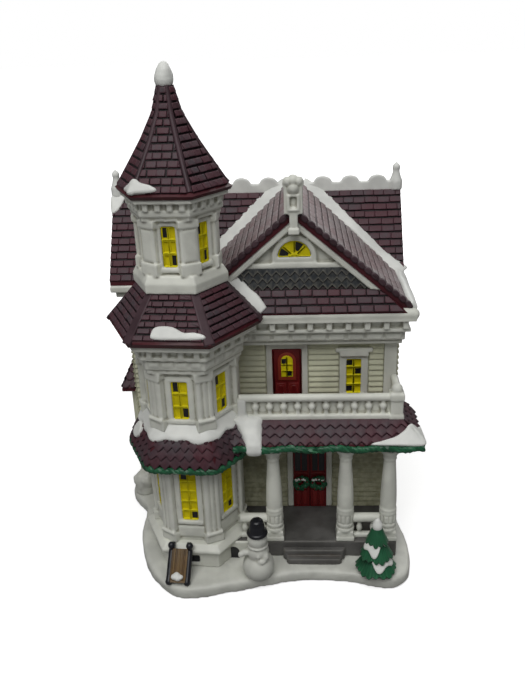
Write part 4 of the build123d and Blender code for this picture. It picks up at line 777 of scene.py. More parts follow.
# Tower roofs, with a smooth band along each hip
middle_roof = Build().cad("tower_middle_roof", slot=1)
for face in tower_faces:
    surface, length = tower_slope(face, *middle_roof_levels)
    (low, _), (high, _) = middle_roof_levels
    region = trapezoid(low / 2 - 2.2, high / 2 - 2.0, 0.6, length)
    courses(middle_roof, surface, region, (length - 0.6) / 7, 4.9, gap=0.25, lap=0.76)
for corner in tower_corners:
    surface, length = tower_slope(corner, (35.6, 127.8), (19.6, 145.2), 1.0)
    tile(middle_roof, surface, trapezoid(2.3, 2.0, 0, length), 0.2, 0.5, 0.6, 2, 1.6)
place(sharp(middle_roof, "tower_skirt_tiles"), [plum, maroon, hip], "plum_ceramic", ["tower_middle_roof"])

spire = Build().cad("tower_spire", slot=1)
spire_heights = np.linspace(187.4, 226.2, 14)


def spire_radius(height):
    levels = (186.4, 187.9, 197.3, 205.4, 215.9, 226.4)
    return float(np.interp(height, levels, (25.2, 23.4, 17.1, 11.8, 6.0, 3.1)))


for face in tower_faces:
    for row, (low_z, high_z) in enumerate(zip(spire_heights, spire_heights[1:])):
        low, high = spire_radius(low_z), spire_radius(high_z)
        surface, length = tower_slope(face, (low, low_z), (high, high_z))
        margin = min(1.2, 0.13 * low)
        region = trapezoid(low / 2 - margin, high / 2 - margin, 0, length)
        painted_shade_bed(spire, surface, region)
        count = max(1, round(low / 4.2))
        wide = low / count
        for column in range(-1, count + 1):
            left = (column + (row % 2) / 2) * wide - low / 2 + dice.uniform(-0.3, 0.3)
            shape = rectangle(left + 0.14, dice.uniform(0, 0.25), left + wide - 0.14, 0.8 * length)
            shape = clip(shape, region)
            if area(shape) > 0.8:
                lift = (dice.uniform(0.8, 1.1), 0.65)
                tile(spire, surface, shape, lift, 0.3, dice.random(), 0, 0.6, (0, length))
for corner in tower_corners:
    heights = np.linspace(187.6, 226.0, 24)
    spire.tube([tower_point(spire_radius(height) - 0.75, corner, height) for height in heights], 1.2, 12, 2)
place(sharp(spire, "tower_spire_tiles"), [plum, maroon, hip], "plum_ceramic", ["tower_spire"])


# Lower tower roof: pointed tiles that turn round soft corners, under an apron of snow
def rounded_roof(profile, round_corner):
    """A surface round the tower with rounded corners; distances run round the eave and up the profile."""
    reaches = [radius * apothem for radius, _ in profile]
    heights = [height for _, height in profile]
    lengths = np.concatenate(([0.0], np.cumsum(np.hypot(np.diff(reaches), np.diff(heights)))))
    slant = math.tan(math.pi / 6)
    straight = 2 * (reaches[0] - round_corner) * slant
    bend = round_corner * math.pi / 3

    def level(t):
        return float(np.interp(t, lengths, reaches)), float(np.interp(t, lengths, heights))

    def surface(s, t):
        reach, height = level(t)
        ahead, above = level(t + 0.4)
        behind, below = level(t - 0.4)
        sector, rest = divmod(s, straight + bend)
        angle = 30 + 60 * sector
        half = (reach - round_corner) * slant
        if rest < straight:
            out = tower_way(angle)
            along = (rest / straight * 2 - 1) * half
            point = tower_point(reach, angle, height) + along * tower_way(angle + 90)
        else:
            out = tower_way(angle + 60 * (rest - straight) / bend)
            pivot = tower_point(reach - round_corner, angle, height) + half * tower_way(angle + 90)
            point = pivot + round_corner * out
        return point, unit(out * (above - below) + np.array((0, 0, behind - ahead)))

    return surface, 6 * (straight + bend), lengths[-1]


skirt_profile = ((31.9, 64.4), (31.4, 67.0), (29.6, 71.0), (26.6, 76.2), (23.8, 80.6), (21.6, 83.6))
skirt, skirt_around, skirt_length = rounded_roof(skirt_profile, 8.0)
lower_roof = Build().cad("tower_lower_roof", slot=1)
teeth(lower_roof, skirt, (0, skirt_around), (0.3, 4.2, 8.1, 12.0, 15.9), 4.7, 2.3, 1.5, closed=True)
place(sharp(lower_roof, "tower_lower_tiles"), [plum, maroon], "plum_ceramic", ["tower_lower_roof"])
apron = Build()
apron_sections = []
apron_steps = 240
for step in range(apron_steps):
    edge = 12.9 + 0.6 * math.sin(step * 0.157) + 0.45 * math.sin(step * 0.39 + 1.3)
    profile = [(edge, -0.6), (edge, 0.8), (edge + 0.7, 1.6), (edge + 2.0, 1.8)]
    section = []
    for rise, lift in profile + [(skirt_length, 0.9), (skirt_length, -1.5)]:
        point, normal = skirt(skirt_around * step / apron_steps, min(rise, skirt_length))
        section.append(point + normal * lift)
    apron_sections.append(section)
apron.sweep(apron_sections, closed=True)
place(soften(apron, "tower_apron_snow", fine, 6), [snow], "snow_ceramic")

# Porch roof and side bay roof
porch_roof = Build().cad("porch_roof", slot=1)
porch_slope = flat((0, porch_eave_y, porch_eave_z), facing_front, (0, 8.8, 8.5))
porch_side = flat((porch_right, 0, porch_eave_z), facing_right, (-8.3, 0, 8.5))
porch_tiles = (-0.3, 3.8, 7.9, 11.6), 4.6, 2.1, 1.5
for surface, near, far, near_fall, far_fall in (
    (porch_slope, porch_left, porch_right, 0.0, 0.68),
    (porch_side, porch_eave_y, wing_front - 0.1, 0.74, 0.0),
):
    teeth(porch_roof, surface, (near, far), *porch_tiles, hipped(near, far, near_fall, far_fall))
place(sharp(porch_roof, "porch_roof_tiles"), [plum, maroon], "plum_ceramic", ["porch_roof"])
bay_roof = Build().cad("side_bay_roof", slot=1)
bay_rows = (0, 4.3, 8.6, 12.9, 17.0)
bay_wall = wall_left - 0.1
bay_slope = flat((bay_left, 0, bay_eave), facing_left, (7.8, 0, 16.2))
bay_front_slope = flat((0, bay_front, bay_eave), facing_front, (0, 11.6, 16.2))
bay_rear_slope = flat((0, bay_rear, bay_eave), facing_rear, (0, -11.6, 16.2))
for surface, near, far, near_fall, far_fall, width in (
    (bay_slope, -bay_rear, -bay_front, 0.65, 0.65, 4.6),
    (bay_front_slope, bay_left, bay_wall, 0.39, 0.0, 4.3),
    (bay_rear_slope, -bay_wall, -bay_left, 0.0, 0.39, 4.3),
):
    limits = hipped(near, far, near_fall, far_fall)
    teeth(bay_roof, surface, (near, far), bay_rows, width, 1.6, 1.2, limits, True)
place(sharp(bay_roof, "bay_roof_tiles"), [plum, maroon], "plum_ceramic", ["side_bay_roof"])

# Tower storeys: wall radius, sill, head, width of the windows, rows of panes and faces with windows
tower_windows = {
    "lower": (22.0, 31.0, 58.0, 8.2, 5, side_faces),
    "middle": (22.0, 86.0, 105.0, 7.6, 3, side_faces),
    "upper": (16.9, 155.5, 173.2, 6.4, 3, tower_faces),
}


def ribs(build, radius, low, high):
    """Three ribs on each pilaster, between a foot and a head roll."""
    for corner in free_corners:
        surface = tower_flat(corner, radius)
        for along in (-2.3, 0, 2.3):
            tile(build, surface, rectangle(along - 0.7, low, along + 0.7, high), 0.45, 0.2, sink=1.0)
        across = 4.1 * tower_way(corner + 90)
        for level, lift, thick in ((low - 0.6, 0.4, 1.0), (high + 0.6, 0.2, 0.7)):
            centre = tower_point(radius + lift, corner, level)
            build.tube([centre - across, centre, centre + across], thick)


def jambs(build, storey):
    """Casings that stand proud on both sides of the tower windows, with a sill and a head."""
    radius, low, high, width, _, at = tower_windows[storey]
    half = width / 2
    for face in at:
        surface = tower_flat(face, radius * apothem)
        for left in (-half - 1.4, half - 0.2):
            tile(build, surface, rectangle(left, low - 1.2, left + 1.6, high + 1.0), 0.9, 0.4, sink=1.0)
        tile(build, surface, rectangle(-half - 1.3, low - 1.6, half + 1.3, low + 0.2), 1.2, 0.4, sink=1.0)
        tile(build, surface, rectangle(-half - 1.3, high - 0.2, half + 1.3, high + 1.4), 1.0, 0.4, sink=1.0)


def lower_details(build):
    ribs(build, 22.4, 25.0, 59.5)
    jambs(build, "lower")
    for face in side_faces:
        tile(build, tower_flat(face, 22.0 * apothem), rectangle(-6.2, 21.4, 6.2, 27.6), 0.7, 0.5, sink=1.0)


def middle_details(build):
    ribs(build, 22.9, 87.0, 105.5)
    jambs(build, "middle")
    for face in tower_faces:
        surface = tower_flat(face, 26.4 * apothem)
        for along in (-9.4, -3.15, 3.15, 9.4):
            tile(build, surface, rectangle(along - 2.0, 113.4, along + 2.0, 115.6), 0.55, 0.3, sink=1.0)


def upper_details(build):
    jambs(build, "upper")
    for corner in tower_corners:
        tile(build, tower_flat(corner, 17.7), rectangle(-2.8, 158.6, 2.8, 171.4), 0.4, 0.3, sink=1.0)


cast("tower_foundation_cast", ["tower_foundation"], white, "white_ceramic", passes=6)
for storey, extra in (("lower", lower_details), ("middle", middle_details), ("upper", upper_details)):
    cast(f"tower_{storey}_cast", [f"tower_{storey}_storey"], white, "white_ceramic", extra=extra)
dark_lights = Build()
for face in side_faces:
    tile(dark_lights, tower_flat(face, 26 * apothem - 1.5), rectangle(-5.2, 7.2, 5.2, 12.8), 0.9, 0.2)
facing_y = -47.9
opening = [(-14.5, 5.4), (-8.7, 5.4)] + [(2.9 * x - 11.6, 2.9 * y + 9.6) for x, y in arc(0, math.pi, 8)]
tile(dark_lights, upright(0, facing_y), opening, 0.15, 0.1)
place(sharp(dark_lights, "basement_lights"), [black], "black_ceramic")


# White trim
def rake_boards(build):
    """White boards under the gable roof's front edge, down to the pent roof."""
    surface = upright(gable_x, -24.5, height=gable_ridge - 4.0)
    fall = gable_rise / gable_half
    for near, far in ((0.0, 46.5), (-46.5, 0.0)):
        for depth, proud in ((4.0, 3.4), (1.9, 3.6)):
            ends = ((near, -depth), (far, -depth), (far, 0.0), (near, 0.0))
            outline = [(along, level - fall * abs(along)) for along, level in ends]
            tile(build, surface, clip(outline, rectangle(-60, -32.9, 60, 10)), proud, 0.4, sink=1.0)


def cornice_details(build):
    """A round gutter, a ball at its corner, and dentils under it."""
    build.tube([(-8, gutter_front + 2.4, 126.4), (74.0, gutter_front + 2.4, 126.4)], 2.7, 16)
    build.tube([(73.2, gutter_front + 2.0, 126.2), (73.2, 15, 126.2)], 2.4, 16)
    build.ball((73.6, gutter_front + 2.4, 126.2), 2.8)
    for step in range(9):
        left = 62.4 - step * 8.6
        build.block((left, -26.1, 113.2), (left + 6.2, -25, 115.8), 0.2)


def crest_details(build):
    for x in (roof_left + 2.3, roof_right - 2.3):
        build.lathe((x, ridge_y), ((3.3, 167), (3.3, 171.6), (2.8, 172.8), (2.1, 174.8), (1.7, 176.6)), 24)
        build.ball((x, ridge_y, 178.2), (2.1, 2.1, 2.3))


def bracket_details(build):
    """A trefoil on top, a foot, and a raised frame on the bracket's face."""
    for along, height, radius in ((-2.4, 186.8, 2.0), (2.4, 186.8, 2.0), (0, 187.2, 2.2), (0, 184.0, 2.6)):
        build.ball((gable_x + along, -30.4, height), radius)
    build.block((gable_x - 2.4, -32.0, 164.2), (gable_x + 2.4, -27, 167.0), 0.4)
    surface = upright(gable_x, -31.3)
    half, low, high = 2.6, 174.4, 181.4
    for bar in (
        (-half, low, -1.5, high),
        (1.5, low, half, high),
        (-half, low, half, low + 1),
        (-half, high - 1, half, high),
    ):
        tile(build, surface, rectangle(*bar), 0.7, 0.3, sink=0.8)


def casing_details(build):
    """Jambs that narrow the balcony window."""
    for x in (balcony_window - 4.3, balcony_window + 4.3):
        tile(build, front_wall, rectangle(x - 0.8, 81.2, x + 0.8, 99.4), 0.9, 0.3, sink=1.6)


def beam_details(build):
    for x in column_places.values():
        build.lathe((x, column_y), ((3.0, 61.0), (3.7, 63.0), (4.9, 64.8), (5.4, 66.0)), 24)


ridge_nodes = ["ridge_cresting", "ridge_finials"]
cast("gable_wall_cast", ["gable_wall"], white, "cream_ceramic", extra=rake_boards)
cast("main_cornice_cast", ["main_cornice"], white, "white_ceramic", extra=cornice_details)
cast("eave_cornices_cast", ["eave_cornices"], white, "white_ceramic", size=1.3)
cast("ridge_cresting_cast", ridge_nodes, snow, "white_ceramic", passes=12, extra=crest_details)
cast("gable_bracket_cast", ["gable_bracket"], white, "white_ceramic", size=0.8, extra=bracket_details)
cast("window_casings_cast", ["house_window_casings"], white, "white_ceramic", extra=casing_details)
cast("wall_trim_cast", ["wall_trim"], white, "white_ceramic")
cast("side_bay_cast", ["side_bay"], cream, "cream_ceramic", size=1.3)
cast("porch_beam_cast", ["porch_beam"], white, "white_ceramic", passes=6, extra=beam_details)
cast("porch_floor_cast", ["porch_floor"], slate, "slate_ceramic", size=1.3)
cast("porch_steps_cast", ["porch_steps"], slate, "slate_ceramic", passes=6)
finial = Build()
finial_profile = (
    (3.0, 225.6), (3.7, 226.6), (4.0, 228.2), (3.8, 230.0),
    (3.1, 232.0), (2.3, 233.6), (1.5, 234.6), (0.5, 235.0),
)
finial.lathe((tower_x, tower_y), finial_profile, 24)
place(soften(finial, "spire_finial_cast", fine * 0.8, 3, 0.7), [snow], "snow_ceramic", ["spire_finial"])


# Railings with beads between the rails
def baluster(build, x, y, bead, radii, stem):
    build.ball((x, y, bead), radii)
    build.lathe((x, y), stem, 12)


rail_y, rail_x, rail_end = -39.0, 67.5, -18.6
railing = Build()
for start, end, half_wide, half_deep, sheet_low, sheet_high in (
    ((-6, rail_y), (64, rail_y), 0, 1.8, (0, 0.8), (0, 1.6)),
    ((rail_x, -36), (rail_x, rail_end), 1.8, 0, (-1.6, 0), (-0.8, 0)),
):
    railing.tube([(*start, 90.0), (*end, 90.0)], 1.9, 14)
    foot_low = (start[0] - half_wide, start[1] - half_deep, balcony_floor)
    railing.block(foot_low, (end[0] + half_wide, end[1] + half_deep, 81.8), 0.5)
    sheet_foot = (start[0] + sheet_low[0], start[1] + sheet_low[1], 81)
    railing.block(sheet_foot, (end[0] + sheet_high[0], end[1] + sheet_high[1], 89), 0.2)
for step in range(10):
    baluster(railing, 60.2 - step * 6.5, -39.3, 85.6, (1.75, 1.5, 1.9), ((1.0, 81.4), (0.9, 88.8)))
for y in (-33.2, -26.7, -20.6):
    baluster(railing, 67.6, y, 85.6, (1.5, 1.75, 1.9), ((1.0, 81.4), (0.9, 88.8)))
place(soften(railing, "balcony_railing_cast", fine), [white], "white_ceramic", ["balcony_railing"])
post = Build()
post.block((63.5, -40.8, balcony_floor), (69.3, -35.0, 89.4), 0.5)
for low, high, bevel in ((balcony_floor, 81.4, 0.5), (88.8, 92.4, 1.0)):
    post.block((62.9, -41.3, low), (69.8, -34.5, high), bevel)
post.ball((66.4, -37.9, 93.4), (2.7, 2.7, 2.8))
place(soften(post, "balcony_post_cast", fine, 5), [white], "white_ceramic", ["balcony_post"])
low_rails = Build()
for left, right in ((-8.0, 5.4), (47.0, 60.0)):
    low_rails.tube([(left, column_y, 26.2), (right, column_y, 26.2)], 2.4, 14)
    low_rails.block((left, column_y - 1.6, porch_top), (right, column_y + 1.6, 17.4), 0.5)
    count = int((right - left) / 4.4)
    for step in range(count):
        x = left + (step + 0.5) * (right - left) / count
        baluster(low_rails, x, column_y, 20.6, (1.5, 1.5, 2.6), ((0.9, 16.5), (0.9, 24.6)))
low_rails.block((-20, facing_y, 4.5), (4.4, facing_y + 1.5, 15.4), 0.6)
low_rail_nodes = ["porch_railing_left", "porch_railing_right"]
place(soften(low_rails, "porch_railings_cast", fine, 5), [white], "white_ceramic", low_rail_nodes)

# Porch columns
column_profile = (
    (4.3, 20.0), (4.5, 20.5), (4.5, 21.6), (3.9, 22.2), (3.9, 22.6), (4.25, 23.0), (4.25, 24.2),
    (3.8, 24.8), (3.8, 29.4), (4.2, 29.8), (4.2, 30.8), (3.85, 31.2), (4.15, 31.6), (4.15, 32.6),
    (3.8, 33.0), (3.95, 36.0), (3.85, 41.0), (3.45, 49.0), (3.0, 56.0), (2.8, 59.4), (3.2, 59.8),
    (3.2, 60.6), (2.85, 60.9), (3.1, 61.8), (3.9, 63.0), (4.4, 63.6), (4.4, 64.8),
)
for name, x in column_places.items():
    column = Build()
    for half, low, high in ((4.4, porch_top, 17.6), (4.0, 17.4, 20.4)):
        column.block((x - half, column_y - half, low), (x + half, column_y + half, high), 0.5)
    column.lathe((x, column_y), column_profile)
    for across, deep in circle(10):
        spot = upright(x + 3.8 * across, column_y + 3.8 * deep, (-deep, across, 0))
        tile(column, spot, rectangle(-0.75, 25.2, 0.75, 29.0), 0.45, 0.2, sink=0.6)
    mesh = soften(column, f"porch_column_{name}_cast", fine * 0.85)
    place(mesh, [white], "white_ceramic", [f"porch_column_{name}"])


# Windows: yellow panes and bars, some panes black as painted shade for pierced panes
def window(build, surface, width, height, rows, dark):
    half, foot, tall = width / 2, -height / 2, height / rows
    # The sheet behind the bars is a little darker, as painted shade in the recess.
    tile(build, surface, rectangle(-half, foot, half, -foot), 0, 0.05, 0.3, 0, 1.2, shades=[0.38] * 5)
    # Black panes stand as painted shade where the panes are pierced.
    for column, row in dark:
        left = (column - 1) * half
        low = foot + row * tall
        pane = rectangle(left + 0.75, low + 0.9, left + half - 0.65, low + tall - 0.7)
        tile(build, surface, pane, 0.12, 0.05, 0.5, 1)
    for row in range(rows + 1):
        level = foot + row * tall + dice.uniform(-0.2, 0.2)
        bar = rectangle(-half, level - 0.75, half, level + 0.75)
        tile(build, surface, bar, 0.9, 0.5, 0.9, shades=painted)
    for along in (-half, 0.0, half):
        along += dice.uniform(-0.12, 0.12)
        bar = rectangle(along - 0.6, foot, along + 0.6, -foot)
        tile(build, surface, bar, 0.8, 0.45, 0.9, shades=painted)


def painted_shade_panes(rows):
    """Which panes are black, as painted shade for pierced panes: one high on the left and one low on the
    right.
    """
    return [(0, rows - 1), (1, dice.choice((0, 1)))]


for storey, (radius, low, high, width, rows, at) in tower_windows.items():
    panes = Build()
    for face in at:
        surface = tower_flat(face, radius * apothem - window_sunk, (low + high) / 2)
        window(panes, surface, width - 0.2, high - low, rows, painted_shade_panes(rows))
    mesh = sharp(panes, f"tower_{storey}_panes")
    place(mesh, [yellow, black], "yellow_ceramic", [f"tower_{storey}_windows"])
panes = Build()
left_panes, right_panes = wall_left + window_sunk, wall_right - window_sunk
rear_panes = wall_rear - window_sunk
house_windows = [(balcony_window, wing_front + window_sunk, sill_high, facing_front)]
house_windows += [(x, rear_panes, sill_high, facing_rear) for x in rear_windows]
house_windows += [(x, rear_panes, sill_low, facing_rear) for x in rear_windows[::2]]
for y in side_windows:
    house_windows += [(right_panes, y, sill, facing_right) for sill in (sill_low, sill_high)]
house_windows.append((right_panes, ridge_y, sill_attic, facing_right))
house_windows.append((left_panes, ridge_y, sill_attic, facing_left))
house_windows.append((left_panes, side_windows[1], sill_high, facing_left))
house_windows.append((wall_left - 4.3, side_windows[1], sill_low, facing_left))
for x, y, sill, right in house_windows:
    dark = [(0, 3), (1, 2), (0, 0)] if right == facing_front else painted_shade_panes(4)
    window(panes, upright(x, y, right, sill + window_tall / 2), window_wide, window_tall, 4, dark)
place(sharp(panes, "house_panes"), [yellow, black], "yellow_ceramic", ["house_window_panes"])

fan = Build()
fan_y, fan_z, fan_reach, fan_sector = -24.3, 152.6, 7.3, math.pi / 4
fan_wall = upright(gable_x, fan_y, height=fan_z)
for sector in range(4):
    start = fan_sector * sector + 0.04
    rim = arc(start, start + fan_sector - 0.08, 4)
    shape = [(0.15 * math.cos(start), 0.15)] + [(fan_reach * x, fan_reach * y) for x, y in rim]
    tile(fan, fan_wall, shape, 0.35, 0.2)
# Two black wedges, as painted shade in the same way as the black window panes.
for near, far in ((0.30, 0.47), (0.80, 0.98)):
    rim = arc(math.pi * near, math.pi * far, 3)
    shape = [(3.0 * x, 3.0 * y) for x, y in rim[:1]]
    shape += [(6.8 * x, 6.8 * y) for x, y in rim]
    shape += [(3.0 * x, 3.0 * y) for x, y in rim[-1:]]
    tile(fan, fan_wall, shape, 0.5, 0.1, 0.5, 1)
tile(fan, fan_wall, [(2.2 * x, 2.2 * y) for x, y in arc(0, math.pi, 8)], 0.9, 0.4, 0.9, shades=painted)
for x, z in arc(0, math.pi, 4):
    bar = flat((gable_x, fan_y, fan_z), (x, 0, z), (-z, 0, x))
    tile(fan, bar, rectangle(0, -0.55, 7.4, 0.55), 0.8, 0.4, 0.9, shades=painted)
place(sharp(fan, "fan_panes"), [yellow, black], "yellow_ceramic", ["fan_window"])

# Balcony door with an arched light and two panels
door_x, arch_z = 16.2, 99.4
door = Build()
tile(door, front_wall, rectangle(9.2, balcony_floor, 23.2, 105.2), 1.2, 0.3, 0.4)
for reach, foot, lift, slot in ((4.4, 89.0, 1.7, 2), (3.4, 90.0, 1.4, 0), (2.9, 91.0, 1.9, 1)):
    outline = [(door_x - reach, foot), (door_x + reach, foot)]
    outline += [(door_x + reach * x, arch_z + reach * y) for x, y in arc(0, math.pi, 10)]
    tile(door, front_wall, outline, lift, 0.3, 0.7, slot)
for left, low in ((13.6, 98.0), (16.3, 91.6)):
    tile(door, front_wall, rectangle(left, low, left + 2.2, low + 2.6), 2.0, 0.1, 0.5, 3)
for level in (94.3, 97.6):
    tile(door, front_wall, rectangle(13.4, level - 0.4, 19.0, level + 0.4), 2.4, 0.3, 0.8, 1)
tile(door, front_wall, rectangle(door_x - 0.35, 91.0, door_x + 0.35, 102), 2.35, 0.3, 0.8, 1)
for left in (10.6, 16.7):
    tile(door, front_wall, rectangle(left, 80.2, left + 5.1, 87.6), 1.9, 0.4, 0.8, shades=painted)
    tile(door, front_wall, rectangle(left + 1.0, 81.2, left + 4.1, 86.6), 2.2, 0.5, 0.2)
for left in (9.4, 22.2):
    tile(door, front_wall, rectangle(left, 79, left + 0.8, 105), 1.7, 0.3, 0.8, shades=painted)
place(sharp(door, "balcony_door_leaf"), [red, yellow, orange, black], "red_ceramic", ["balcony_door"])

# Front doors with glazed tops, and wreaths with berries and a bow of snow
doors = Build()
# A dark red sheet behind the leaves, darkened as painted shade in the gap between them.
tile(doors, front_wall, rectangle(18.2, porch_top, 35.05, 50), 0.7, 0.1, 0.2, shades=[0.2] * 5)
for left in (18.2, 26.9):
    tile(doors, front_wall, rectangle(left, porch_top, left + 8.15, 50), 1.2, 0.3, 0.4)
    for pane in (left + 1.0, left + 4.4):
        tile(doors, front_wall, rectangle(pane, 37.2, pane + 2.7, 48.0), 1.4, 0.1, 0.5, 1)
        tile(doors, front_wall, rectangle(pane, 16.6, pane + 2.7, 25.6), 1.9, 0.5, 0.7, shades=painted)
    tile(doors, front_wall, rectangle(left + 0.6, 35.2, left + 7.5, 36.6), 1.9, 0.4, 0.7, shades=painted)
place(sharp(doors, "front_door_leaves"), [red, black], "red_ceramic", ["front_doors"])
wreaths = Build()
wreath_z = 30.4
for x in (22.3, 30.9):
    for step, (across, up) in enumerate(circle(26)):
        reach = 2.9 + dice.uniform(-0.6, 0.6)
        leaf = (x + reach * across, wing_front - 2.3, wreath_z + reach * up)
        wreaths.ball(leaf, dice.uniform(1.0, 1.6), 0, 8, 6)
        if step % 5 == 2:
            wreaths.ball((x + 3.1 * across, wing_front - 3.3, wreath_z + 3.1 * up), 0.55, 1, 8, 6)
    for along in (-2.4, -1.0, 0.6, 2.0):
        wreaths.ball((x + along, wing_front - 2.9, 33.3 - abs(along) * 0.3), (1.2, 0.9, 0.8), 2, 8, 6)
wreaths.cavity = [dice.uniform(0.3, 0.75) for _ in wreaths.cavity]
place(sharp(wreaths, "door_wreath_leaves"), [green, red, snow], "green_ceramic", ["door_wreaths"])


# Garlands: a leafy rope along the eaves
def garland(name, path, node):
    rope = Build()
    for shift in range(3):
        strand = []
        for index, point in enumerate(path):
            turn = index * 0.9 + shift * 2.1
            strand.append(np.array(point) + np.array((0.0, 0.35 * math.cos(turn), 0.5 * math.sin(turn))))
        rope.tube(strand, 1.25, 8, 0, 0.3)
    place(sharp(rope, name), [green], "green_ceramic", [node])


tower_path = []
for step in range(-8, 91):
    point, _ = skirt(skirt_around * (0.5 + 0.5 * step / 90) * 0.999, 0.0)
    tower_path.append(point + np.array((0, 0, -0.3)))
garland("tower_garland_rope", tower_path, "tower_garland")
porch_path = []
for step in range(81):
    porch_path.append((-8.6 + 86.6 * step / 80, -50.0, 69.2 + 0.45 * math.sin(step * 0.33)))
garland("porch_garland_rope", porch_path, "porch_garland")

# Snowman with arms, scarf and a turned hat
snowman_x, snowman_y = 1.4, -59.5
snowman = Build()
for radius, height in ((7.6, 11.3), (5.3, 19.6), (4.8, 26.6)):
    snowman.ball((snowman_x, snowman_y, height), radius, around=28, up=18)
for centre, radii in (
    ((-4.2, -61.4, 20.2), (2.4, 1.7, 1.5)),
    ((-6.4, -62.0, 19.4), (1.6, 1.5, 1.6)),
    ((5.0, -62.4, 18.4), (1.9, 2.2, 2.6)),
    ((3.2, -64.4, 17.0), (2.0, 1.4, 1.5)),
    ((snowman_x, snowman_y, 23.4), (5.1, 5.1, 1.0)),
    ((1.8, -64.9, 19.8), (0.7, 0.7, 0.7)),
):
    snowman.ball(centre, radii)
place(soften(snowman, "snowman_cast", fine), [tinted_shaded_snow], "snow_ceramic", ["snowman"])
hat = Build()
hat_profile = (
    (3.4, 29.4), (4.7, 29.6), (4.95, 30.2), (4.7, 30.9), (3.9, 31.2), (3.75, 32.6), (3.6, 33.0), (3.5, 34.6),
    (3.2, 35.0), (3.1, 36.4), (2.6, 37.1), (1.2, 37.5),
)
hat.lathe((snowman_x, snowman_y - 0.1), hat_profile)
hat.cavity = [0.75 if index // 40 % 3 == 1 else 0.5 for index in range(len(hat.points))]
place(sharp(hat, "snowman_hat_turned"), [black], "black_ceramic", ["snowman_hat"])

# Fir tree in three pleated tiers: reach, foot, top reach and top
tree_x, tree_y = 57.4, -56.5
tree_tiers = ((9.4, 7.8, 4.4, 18.4), (7.5, 15.2, 3.0, 26.0), (5.2, 23.0, 0.8, 33.6))
tier_profile = (
    (0.3, 0.1, 0.0), (0.94, 0.0, 1.0), (1.0, 0.07, 1.0), (0.8, 0.26, 0.8), (0.5, 0.6, 0.5), (0.0, 1.0, 0.0),
)
tree = Build()
tree.lathe((tree_x, tree_y), ((2.6, 6.0), (2.6, 9.0)), 20)
for tier, (reach, foot, top_reach, top) in enumerate(tree_tiers):
    pleats = 17 - 3 * tier
    rings = []
    for share, rise, ragged in tier_profile:
        ring = []
        for index, (x, y) in enumerate(circle(96)):
            turn = 2 * math.pi * index / 96
            wave = abs(math.sin(turn * pleats / 2 + tier)) - 0.5 + 0.35 * math.sin(turn * 5 + tier * 2)
            out = (top_reach * 0.55 * (1 - share) + reach * share) * (1 + 0.1 * ragged * wave)
            height = foot + rise * (top - foot) - 1.1 * ragged * wave * (1 - rise)
            ring.append((tree_x + out * x, tree_y + out * y, height))
        rings.append(ring)
    # Each tier is darker underneath and towards its top, under the next tier, as painted shade, and lighter
    # at its rim as a painted highlight.
    tree.rings(rings, [0.05, 0.3, 0.72, 0.55, 0.35, 0.25], dice.random())
for index, (x, y, _) in enumerate(tree.points):
    needles = 0.16 * math.sin(math.atan2(y - tree_y, x - tree_x) * 34)
    tree.cavity[index] += needles + dice.uniform(-0.08, 0.08)
place(sharp(tree, "fir_tree_branches"), [green], "green_ceramic", ["fir_tree"])
tree_snow = Build()
for tier, (reach, foot, top_reach, top) in enumerate(tree_tiers[:2]):
    sections = []
    for step, (x, y) in enumerate(circle(72)):
        turn = 2 * math.pi * step / 72
        edge = 0.5 + 0.22 * math.sin(2 * turn + 2.2 * tier + 0.6) + 0.14 * math.sin(5 * turn + tier)
        profile = [(edge, -0.5), (edge, 0.7), (edge + 0.08, 1.0), (0.92, 0.9), (1.0, 0.2), (1.0, -0.5)]
        section = []
        for rise, lift in profile:
            share = np.interp(rise, (0.07, 0.26, 0.6, 1.0), (1.0, 0.8, 0.5, 0.0))
            out = top_reach * 0.55 * (1 - share) + reach * share + lift
            section.append((tree_x + out * x, tree_y + out * y, foot + rise * (top - foot) + 0.4 * lift))
        sections.append(section)
    tree_snow.sweep(sections, closed=True)
for height, radii in ((31.6, (2.5, 2.5, 3.0)), (33.4, (1.7, 1.7, 2.4))):
    tree_snow.ball((tree_x, tree_y, height), radii)
place(soften(tree_snow, "fir_tree_snow", fine), [snow], "snow_ceramic")

# Bush beside the house
bush_x, bush_y = -66.5, 10.5
bush = Build()
bush.ball((bush_x, bush_y, 12.6), 6.2)
for _ in range(40):
    turn = dice.uniform(0, 2 * math.pi)
    tilt = math.asin(dice.uniform(-0.7, 1))
    out = 5.6 * math.cos(tilt)
    lump = (bush_x + out * math.cos(turn), bush_y + out * math.sin(turn), 12.4 + 5.6 * math.sin(tilt))
    bush.ball(lump, dice.uniform(1.0, 1.7), 0, 8, 6)
bush.lathe((bush_x, bush_y), ((6.2, 6.0), (6.0, 10.0)), 20)
place(soften(bush, "snow_bush_cast", fine, 20), [tinted_shaded_snow], "snow_ceramic", ["snow_bush"])

# Sled that leans on the tower
sled_lean = math.radians(46.0)
sled_foot = tower_point(34.85, 270, 6.0) - 4.6 * tower_way(360)
sled_up = np.array((0, 0, math.sin(sled_lean))) - math.cos(sled_lean) * tower_way(270)
deck_top = flat(sled_foot, tower_way(360), sled_up)


def on_sled(across, along, lift):
    point, normal = deck_top(across, along)
    return point + normal * lift


